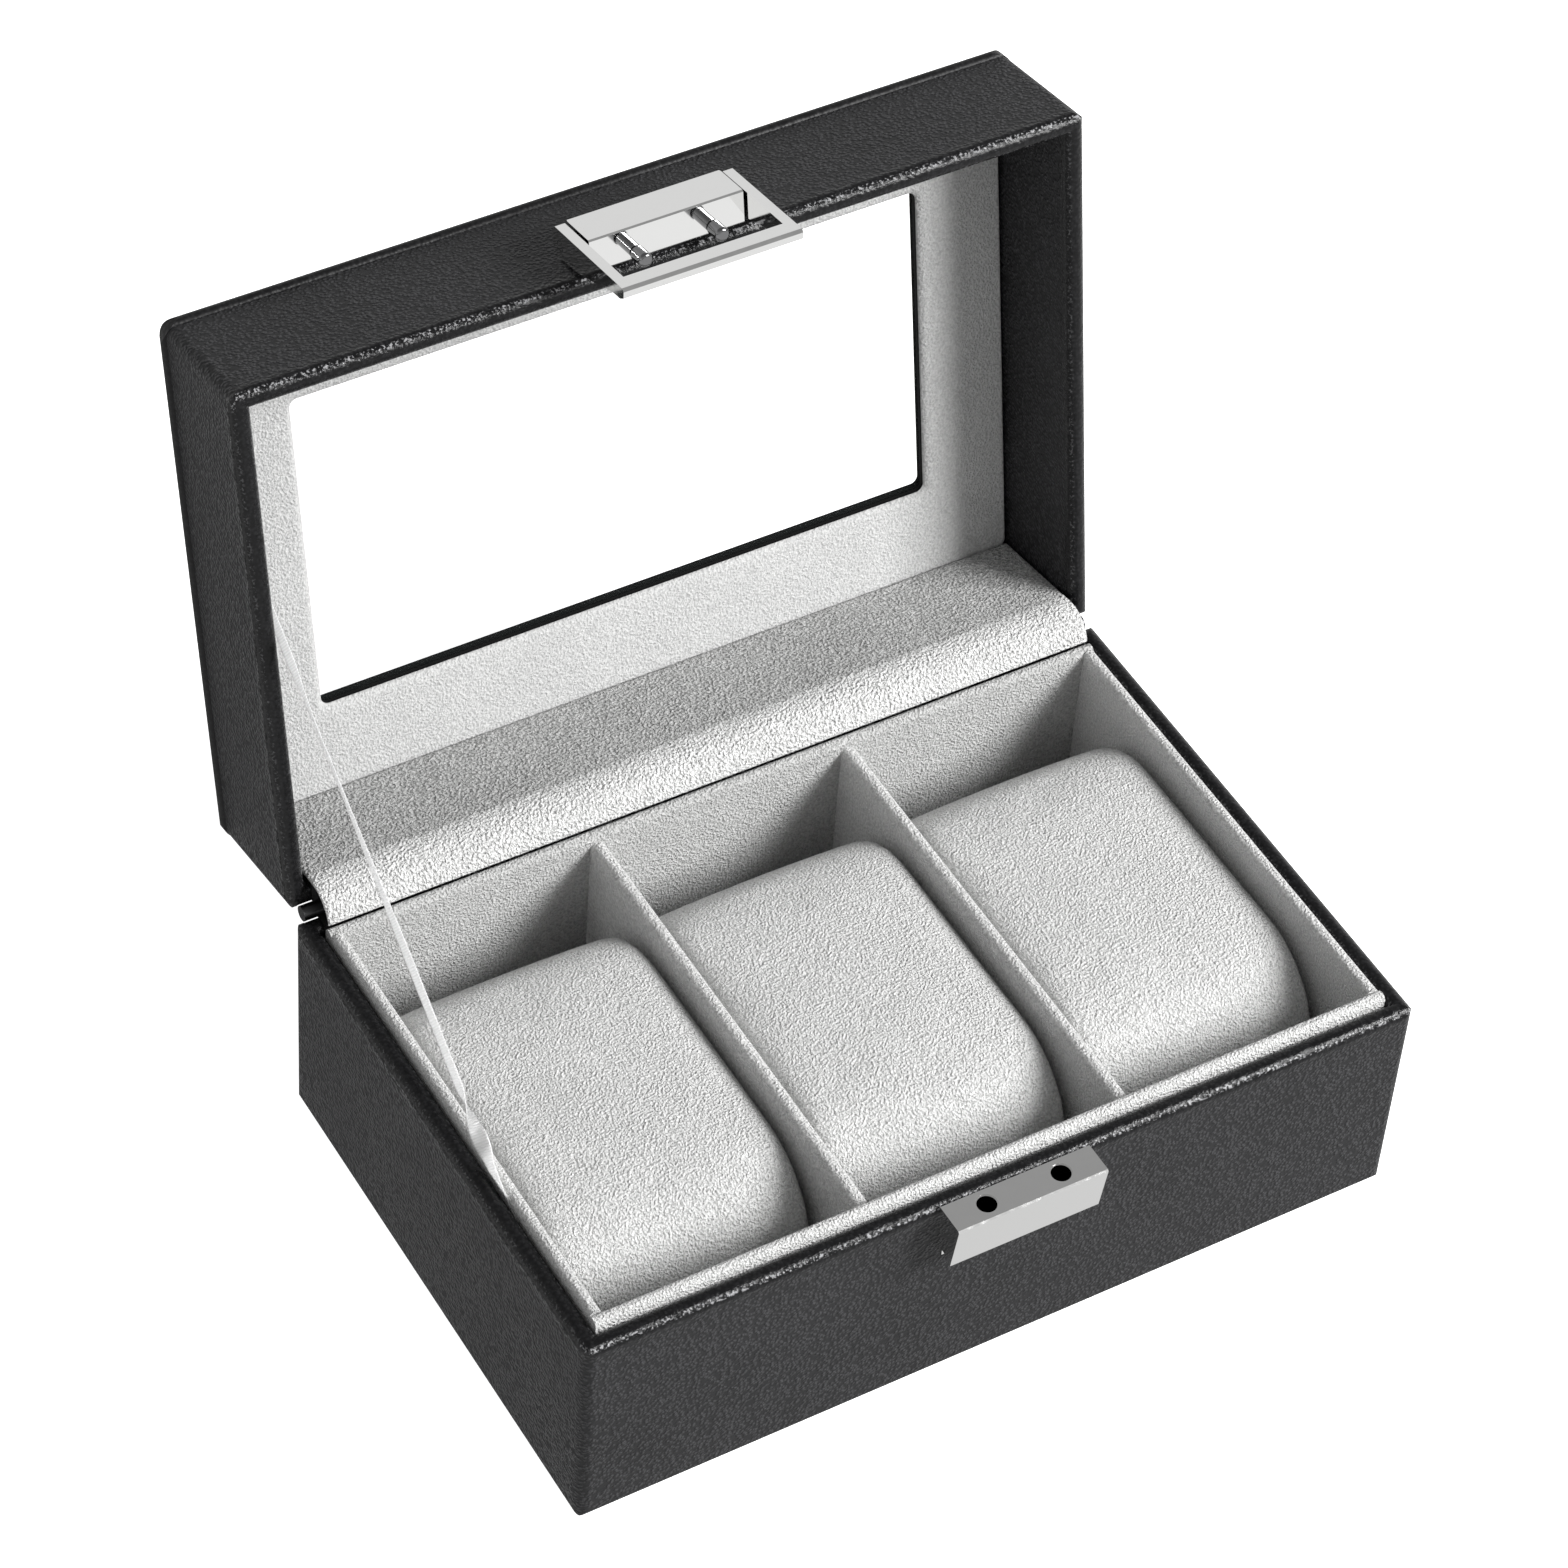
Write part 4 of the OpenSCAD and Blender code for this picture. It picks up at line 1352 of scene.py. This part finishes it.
@dataclass
class HingeCover:
    """The velvet strip that hides the hinges.

    It lies flat on the lid, goes round the barrels and comes down to the back lining.
    """

    half_length: float = 80.5
    bend_radius: float = 6.0
    thickness: float = 0.9
    bend_end: float = 168.0  # degrees round the hinge line, from straight back
    frame_gap: float = 0.3  # from the strip's end to the velvet frame
    joint_end: tuple[float, float] = (57.0, 53.2)  # the Y and Z past which the lid carries it
    edge_round: float = 1.3
    wave: float = 0.12  # the height of the soft waves along it
    wave_run: float = 17.0  # a wave's length over two pi
    length_points: int = 90
    width_points: int = 80

    def middle_line(self) -> tuple[Array, Array, Array]:
        """Run along the strip's section, from the back lining to the lid's frame.

        The bend is an arc about the hinge line, and the flat goes on along its tangent.

        Returns:
            The points in Y and Z, the outward directions, and the distance run.
        """
        lid_edge = math.radians(180 - BOX.open_angle)
        start = math.radians(self.bend_end)
        bend = self.bend_radius * (start - lid_edge)
        flat = BOX.frame_face - BOX.hinge_z - self.frame_gap
        run = end_dense(self.width_points, bend + flat, self.edge_round)
        angle = np.maximum(start - run / self.bend_radius, lid_edge)
        out = np.stack([np.cos(angle), np.sin(angle)], axis=-1)
        past = np.maximum(run - bend, 0)[:, None]
        along = np.array([math.sin(lid_edge), -math.cos(lid_edge)])
        line = np.array([BOX.hinge_y, BOX.hinge_z]) + self.bend_radius * out + past * along
        return line, out, run

    def build(self, finishes: Finishes) -> Piece:
        """Args:
            finishes: the box's finishes.

        Returns:
            The strip.
        """
        line, out, run = self.middle_line()
        length = 2 * self.half_length
        x = end_dense(self.length_points, length, self.edge_round) - self.half_length
        rows, columns = len(x), len(run)
        swell = np.sin(run / run[-1] * math.pi)
        lift = self.wave * np.sin(x / self.wave_run)[:, None] * swell[None, :]
        middle = np.zeros((rows, columns, 3))
        middle[..., 0] = x[:, None]
        middle[..., 1:] = line[None] + lift[..., None] * out[None]
        away = np.zeros_like(middle)
        away[..., 1:] = out[None]
        ends = rounded_end(self.half_length - np.abs(x), self.edge_round)
        sides = rounded_end(np.minimum(run, run[-1] - run), self.edge_round)
        half = self.thickness / 2 * ends[:, None] * sides[None, :]
        piece = padded_sheet("hinge_cover_velvet", middle, away, half)
        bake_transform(piece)
        settle(piece, finishes.cover_velvet, "hinge_cover")
        return piece


# ---- the ribbon ----


@dataclass
class RibbonStay:
    """The satin ribbon that holds the lid open, with half a turn of twist in it."""

    foot: Point = (-81.05, -16.4, 47.0)
    head: Point = (-81.05, 71.39, 109.94)
    tail: float = 8.0
    width: float = 4.6
    thickness: float = 0.2
    twist_start: float = 0.085
    twist_share: float = 0.13
    gather: float = 0.35  # how much the width draws in where the ribbon twists
    lean: float = 15.0  # degrees that the free stretch turns away from the wall
    lean_start: float = 0.4
    lean_share: float = 0.35
    land_end: float = 0.86
    land_share: float = 0.1
    cup: float = 0.25  # how hollow the ribbon is where it is twisted
    edge_round: float = 0.25
    end_round: float = 0.6
    rows: int = 220
    columns: int = 11
    path_step: int = 6

    def build(self, finishes: Finishes) -> Piece:
        """Just above its foot the ribbon's width turns by half a turn, eased at both ends,
        and draws in meanwhile. Further up it leans a little, till it lies on the lid.
        Starts, ends and shares are parts of its whole length.

        Args:
            finishes: the box's finishes.

        Returns:
            The ribbon.
        """
        foot, head = np.array(self.foot), np.array(self.head)
        run = float(np.linalg.norm(head - foot))
        along = (head - foot) / run
        side = np.array([0.0, -along[2], along[1]])
        aside = np.array([1.0, 0, 0])
        t = np.linspace(0, 1, self.rows)
        centre = foot - along * self.tail + along * (run + 2 * self.tail) * t[:, None]
        share = np.clip((t - self.twist_start) / self.twist_share, 0, 1)
        turn = math.pi * share * share * (3 - 2 * share)
        leave = np.clip((t - self.lean_start) / self.lean_share, 0, 1)
        land = np.clip((self.land_end - t) / self.land_share, 0, 1)
        turn = turn - math.radians(self.lean) * leave * land * land * (3 - 2 * land)
        across = side * np.cos(turn)[:, None] + aside * np.sin(turn)[:, None]
        through = aside * np.cos(turn)[:, None] - side * np.sin(turn)[:, None]
        v = np.linspace(-1, 1, self.columns)
        cup = self.cup * (1 - v**2) * np.abs(np.sin(turn))[:, None]
        breadth = self.width / 2 * (1 - self.gather * np.sin(math.pi * share))
        middle = (
            centre[:, None]
            + across[:, None] * (breadth[:, None] * v)[..., None]
            + through[:, None] * cup[..., None]
        )
        edge = rounded_end((1 - np.abs(v)) * self.width / 2, self.edge_round)
        ends = rounded_end(np.minimum(t, 1 - t) * (run + 2 * self.tail), self.end_round)
        half = self.thickness / 2 * edge[None, :] * ends[:, None]
        out = np.broadcast_to(through[:, None], middle.shape)
        piece = padded_sheet("ribbon_stay_satin", middle, out, half)
        self.lay_uv(piece, centre[0], along)
        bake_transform(piece)
        settle(piece, finishes.ribbon, "ribbon_stay")
        return piece

    def lay_uv(self, piece: Piece, start: Array, along: Array) -> None:
        """Give the ribbon a UV map: the distance along it, and across it, in metres.

        Args:
            piece: the ribbon.
            start: its first point, in millimetres.
            along: its unit direction.
        """
        mesh = piece.data
        spots = read_rows(mesh.vertices)
        corners = np.empty(len(mesh.loops), int)
        mesh.loops.foreach_get("vertex_index", corners)
        distance = (spots - start * MM) @ along
        uv = np.stack([distance, spots[:, 0] - start[0] * MM], axis=-1)[corners]
        layer = mesh.uv_layers.new(name="ribbon")
        layer.data.foreach_set("uv", uv.ravel())


# ---- the cushions ----


@dataclass
class Cushion:
    """A lift-out watch cushion.

    A velvet wrap goes round a flat oval core, and end panels are sewn on along a seam.
    """

    name: str
    body: str
    middle_x: float
    half_width: float = 24.6
    half_length: float = 39.5
    height: float = 38.0
    seat_z: float = 5.3
    middle_y: float = -0.3
    start_inset: float = 0.3
    corner: float = 1.6
    crown: float = 0.5
    side_swell: float = 0.2
    voxel: float = 1.9  # the size of the cloth's even faces
    pressure: float = 4.0
    frames: int = 20
    cap: float = 2.0  # the furthest that the filling moves a point
    side_room: float = 24.85  # half the compartment's width
    seam_depth: float = 0.4
    seam_width: float = 0.75
    seam_inset: tuple[float, float] = (0.35, 1.6)  # in from the end panel, and from the wrap
    arc_points: int = 25
    corner_points: int = 9
    panel_points: int = 8
    wrap_points: int = 19

    @property
    def radius(self) -> float:
        """The radius of the round front and back."""
        return self.height / 2

    def start_points(self) -> tuple[Array, int, int]:
        """Work out the cushion before it is filled.

        Seen from the side it is two half circles joined by straight lines. A point is
        the nearest point of the middle line plus a radius times a direction. From one
        end panel to the other the radius grows from nothing, turns a round corner,
        follows a low crown, and comes back to nothing.

        Returns:
            The points, and how many rows and columns they have.
        """
        reach = self.half_length - self.radius
        radius = self.radius - self.start_inset
        half = self.half_width - self.start_inset
        arc = np.linspace(-math.pi / 2, math.pi / 2, self.arc_points)
        line = np.linspace(-1, 1, self.arc_points)[1:-1]
        back = np.full(len(arc), reach)
        centre = np.concatenate([back, -line * reach, -back, line * reach])
        up = np.full(len(line), math.pi / 2)
        angle = np.concatenate([arc, up, arc + math.pi, -up])
        turn = np.linspace(0, math.pi / 2, self.corner_points)
        in_panel = np.linspace(0, radius - self.corner, self.panel_points)[:-1]
        swell = self.side_swell * (1 - (in_panel / radius) ** 2)
        x_panel = half + swell
        x_corner = half - self.corner + self.corner * np.cos(turn)
        r_corner = radius - self.corner + self.corner * np.sin(turn)
        flat = half - self.corner
        x_wrap = np.linspace(-flat, flat, self.wrap_points)[1:-1]
        r_wrap = radius + self.crown * (1 - (x_wrap / half) ** 2)
        x = np.concatenate([-x_panel, -x_corner, x_wrap, x_corner[::-1], x_panel[::-1]])
        r = np.concatenate([in_panel, r_corner, r_wrap, r_corner[::-1], in_panel[::-1]])
        points = np.zeros((len(x), len(angle), 3))
        points[..., 0] = self.middle_x + x[:, None]
        points[..., 1] = self.middle_y + centre[None] + r[:, None] * np.cos(angle)[None]
        points[..., 2] = self.seat_z + self.radius + r[:, None] * np.sin(angle)[None]
        return points, len(x), len(angle)

    def build(self, finishes: Finishes) -> Piece:
        """Sew, fill and finish the cushion.

        Args:
            finishes: the box's finishes.

        Returns:
            The cushion.
        """
        points, rows, columns = self.start_points()
        piece = link_mesh(self.name, points, grid_quads(rows, columns, False, True), merge=1e-5)
        remesh = piece.modifiers.new("even_cloth", "REMESH")
        remesh.mode = "VOXEL"
        remesh.voxel_size = self.voxel * MM
        bake_modifiers(piece)
        relax(piece, 3)
        self.fill_with_pressure(piece)
        relax(piece, 1)
        even = piece.modifiers.new("finer_cloth", "SUBSURF")
        even.levels = even.render_levels = 1
        bake_modifiers(piece)
        self.shape_in_slot(piece)
        piece.data.shade_smooth()
        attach(piece, self.body)
        settle(piece, finishes.cushion_velvet, self.body)
        return piece

    def fill_with_pressure(self, piece: Piece) -> None:
        """Swell the cushion with a cloth simulation, and hold each point near its start.

        Args:
            piece: the cushion, of even faces.
        """
        scene = bpy.context.scene
        before = read_rows(piece.data.vertices)
        modifier = piece.modifiers.new("filling", "CLOTH")
        cloth = modifier.settings
        cloth.quality = 6
        cloth.mass = 0.25
        cloth.tension_stiffness = 18
        cloth.compression_stiffness = 18
        cloth.shear_stiffness = 8
        cloth.bending_stiffness = 0.6
        cloth.use_pressure = True
        cloth.uniform_pressure_force = self.pressure
        cloth.effector_weights.gravity = 0
        modifier.point_cache.frame_start = 1
        modifier.point_cache.frame_end = self.frames
        for step in range(1, self.frames + 1):
            scene.frame_set(step)
        shown = piece.evaluated_get(bpy.context.evaluated_depsgraph_get())
        after = read_rows(shown.data.vertices)
        piece.modifiers.remove(modifier)
        scene.frame_set(1)
        moved = after - before
        moved -= moved.mean(axis=0)
        length = np.linalg.norm(moved, axis=1, keepdims=True)
        limit = self.cap * MM
        kept = limit * np.tanh(length / limit) / np.maximum(length, 1e-9)
        write_points(piece, before + moved * kept)
        LOG.info(
            "%s swelled by %.2f mm, at most %.2f mm",
            self.name,
            float(length.mean()) / MM,
            float(length.max()) / MM,
        )

    def shape_in_slot(self, piece: Piece) -> None:
        """Seat the cushion in its compartment and draw in its seams.

        Points past the compartment's sides or floor are brought back to them. Near the
        edge of each end panel a point moves inwards by the seam's depth, which falls
        off as a bell with its distance from the seam.

        Args:
            piece: the cushion.
        """
        spots = read_rows(piece.data.vertices) / MM
        normals = read_rows(piece.data.vertices, "normal")
        across = np.abs(spots[:, 0] - self.middle_x)
        reach = self.half_length - self.radius
        nearest = np.clip(spots[:, 1] - self.middle_y, -reach, reach) + self.middle_y
        out = np.hypot(spots[:, 1] - nearest, spots[:, 2] - self.seat_z - self.radius)
        from_panel, from_wrap = self.seam_inset
        distance = np.hypot(
            across - (self.half_width - from_panel), out - (self.radius - from_wrap)
        )
        depth = self.seam_depth * np.exp(-((distance / self.seam_width) ** 2))
        spots -= normals * depth[:, None]
        side = np.clip(spots[:, 0] - self.middle_x, -self.side_room, self.side_room)
        spots[:, 0] = self.middle_x + side
        spots[:, 2] = np.maximum(spots[:, 2], self.seat_z)
        write_points(piece, spots * MM)


# ---- the studio ----


@dataclass
class Studio:
    """A pale floor, soft lights and the camera."""

    floor_half: float = 6.0
    floor_drop: float = 0.02  # in millimetres below the box
    floor_colour: str = "#f4f4f3"
    floor_glow: float = 1.0
    room_light: float = 0.27
    front_light: float = 0.12
    left_light: float = 0.16
    cards: tuple[tuple[float, float], ...] = (
        (0.0, 0.66),
        (0.09, 0.78),
        (0.25, 1.0),
        (0.7, 0.8),
        (0.8, 0.56),
        (0.88, 0.34),
        (1.0, 0.3),
    )  # how bright they are from straight below, at 0, to straight above
    left_card: float = 1.05
    left_span: tuple[float, float] = (-0.3, 0.1)  # the X where the left card fades out
    black_card: Point = (-0.38, 0.58, -0.72)
    black_span: tuple[float, float] = (0.16, 0.34)  # how far from its middle it fades out
    black_level: float = 0.03
    key_place: Point = (1.0, -0.966, 0.949)
    key_aim: Point = (0.0, 0.0, 0.08)
    key_size: float = 0.72
    key_watts: float = 44.0
    lens_mm: float = 128.22
    sensor_mm: float = 36.0
    eye: Point = (-0.382483, -0.551034, 0.794488)
    right: Point = (0.864998, -0.498409, 0.058031)
    up: Point = (0.32696, 0.647583, 0.688283)
    back: Point = (-0.380626, -0.576390, 0.723117)

    def floor(self) -> Piece:
        """Lay the floor, just under the box. Only the camera sees it.

        Returns:
            The floor.
        """
        s = self.floor_half / MM
        z = -self.floor_drop
        corners = np.array([[-s, -s, z], [s, -s, z], [s, s, z], [-s, s, z]])
        piece = link_mesh("studio_floor", corners, np.array([[0, 1, 2, 3]]))
        if piece.data.polygons[0].normal.z < 0:
            piece.data.flip_normals()
        piece.visible_diffuse = piece.visible_glossy = False
        material, _ = fresh_material(
            "pale_paper",
            Base_Color=linear(self.floor_colour),
            Roughness=0.95,
            Specular_IOR_Level=0.1,
            Emission_Color=(1.0, 1.0, 1.0, 1.0),
            Emission_Strength=self.floor_glow,
        )
        piece.data.materials.append(material)
        return piece

    def room(self) -> bpy.types.World:
        """Light the room: an even soft light, and the cards that bright metal mirrors.

        The soft light grows towards the front and the left. The cards are bright low
        down, in front and behind, and to the left, dim overhead, and black in one patch
        low down behind on the left.

        Returns:
            The world.
        """
        world = bpy.data.worlds.new("soft_room")
        world.use_nodes = True
        tree = world.node_tree
        sky = tree.nodes["Background"]
        sky.inputs["Color"].default_value = (1.0, 1.0, 1.0, 1.0)
        place = add_node(tree, "TexCoord").outputs["Generated"]
        parts = add_node(tree, "SeparateXYZ", {0: place}).outputs
        front = add_node(
            tree,
            "Math",
            {0: parts["Y"], 1: -self.front_light, 2: self.room_light},
            operation="MULTIPLY_ADD",
        )
        soft = add_node(
            tree,
            "Math",
            {0: parts["X"], 1: -self.left_light, 2: front.outputs[0]},
            operation="MULTIPLY_ADD",
        )
        up = add_node(tree, "MapRange", {"Value": parts["Z"], "From Min": -1.0, "From Max": 1.0})
        cards = ramp(add_node(tree, "ValToRGB", {"Fac": up.outputs["Result"]}), self.cards)
        left = add_node(
            tree,
            "MapRange",
            {
                "Value": parts["X"],
                "From Min": self.left_span[0],
                "From Max": self.left_span[1],
                "To Min": self.left_card,
            },
            interpolation_type="SMOOTHSTEP",
        )
        away = add_node(tree, "VectorMath", {0: place, 1: self.black_card}, operation="DISTANCE")
        beyond = add_node(
            tree,
            "MapRange",
            {
                "Value": away.outputs["Value"],
                "From Min": self.black_span[0],
                "From Max": self.black_span[1],
                "To Min": self.black_level,
            },
            interpolation_type="SMOOTHSTEP",
        )
        sides = add_node(
            tree,
            "Math",
            {0: left.outputs["Result"], 1: beyond.outputs["Result"]},
            operation="MULTIPLY",
        )
        shown = add_node(tree, "Math", {0: cards, 1: sides.outputs[0]}, operation="MULTIPLY")
        path = add_node(tree, "LightPath").outputs["Is Glossy Ray"]
        strength = add_node(
            tree,
            "Mix",
            {0: path, 2: soft.outputs[0], 3: shown.outputs[0]},
            data_type="FLOAT",
        )
        tree.links.new(strength.outputs[0], sky.inputs["Strength"])
        return world

    def key_light(self) -> None:
        """Hang the square soft key light, which faces its aim."""
        light = bpy.data.lights.new("key_light", "AREA")
        light.shape = "SQUARE"
        light.size = self.key_size
        light.energy = self.key_watts
        holder = bpy.data.objects.new("key_light", light)
        bpy.context.scene.collection.objects.link(holder)
        holder.location = self.key_place
        look = Vector(self.key_aim) - Vector(self.key_place)
        holder.rotation_euler = look.to_track_quat("-Z", "Y").to_euler()

    def build(self) -> None:
        """Set up the floor, the room's light, the lamp and the camera."""
        scene = bpy.context.scene
        self.floor()
        scene.world = self.room()
        self.key_light()
        lens = bpy.data.cameras.new("camera")
        lens.lens = self.lens_mm
        lens.sensor_width = self.sensor_mm
        lens.clip_start = 0.05
        lens.clip_end = 50.0
        camera = bpy.data.objects.new("camera", lens)
        scene.collection.objects.link(camera)
        axes = Matrix((self.right, self.up, self.back)).transposed().to_4x4()
        camera.matrix_world = Matrix.Translation(self.eye) @ axes
        scene.camera = camera
        scene.view_settings.view_transform = "Standard"


def main() -> None:
    """Build the studio and the camera first, then the ribbon and the rest of the box."""
    logging.basicConfig(level=logging.INFO, format="%(name)s: %(message)s")
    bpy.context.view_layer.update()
    Studio().build()
    finishes = Finishes()
    RibbonStay().build(finishes)
    Case().build(finishes)
    Metalwork().build(finishes)
    Lining().build(finishes)
    VelvetFrame().build(finishes)
    HingeCover().build(finishes)
    for side, place in (("left", -1), ("middle", 0), ("right", 1)):
        Cushion(f"{side}_watch_cushion", f"cushion_{side}", place * PITCH).build(finishes)


if __name__ == "__main__":
    main()
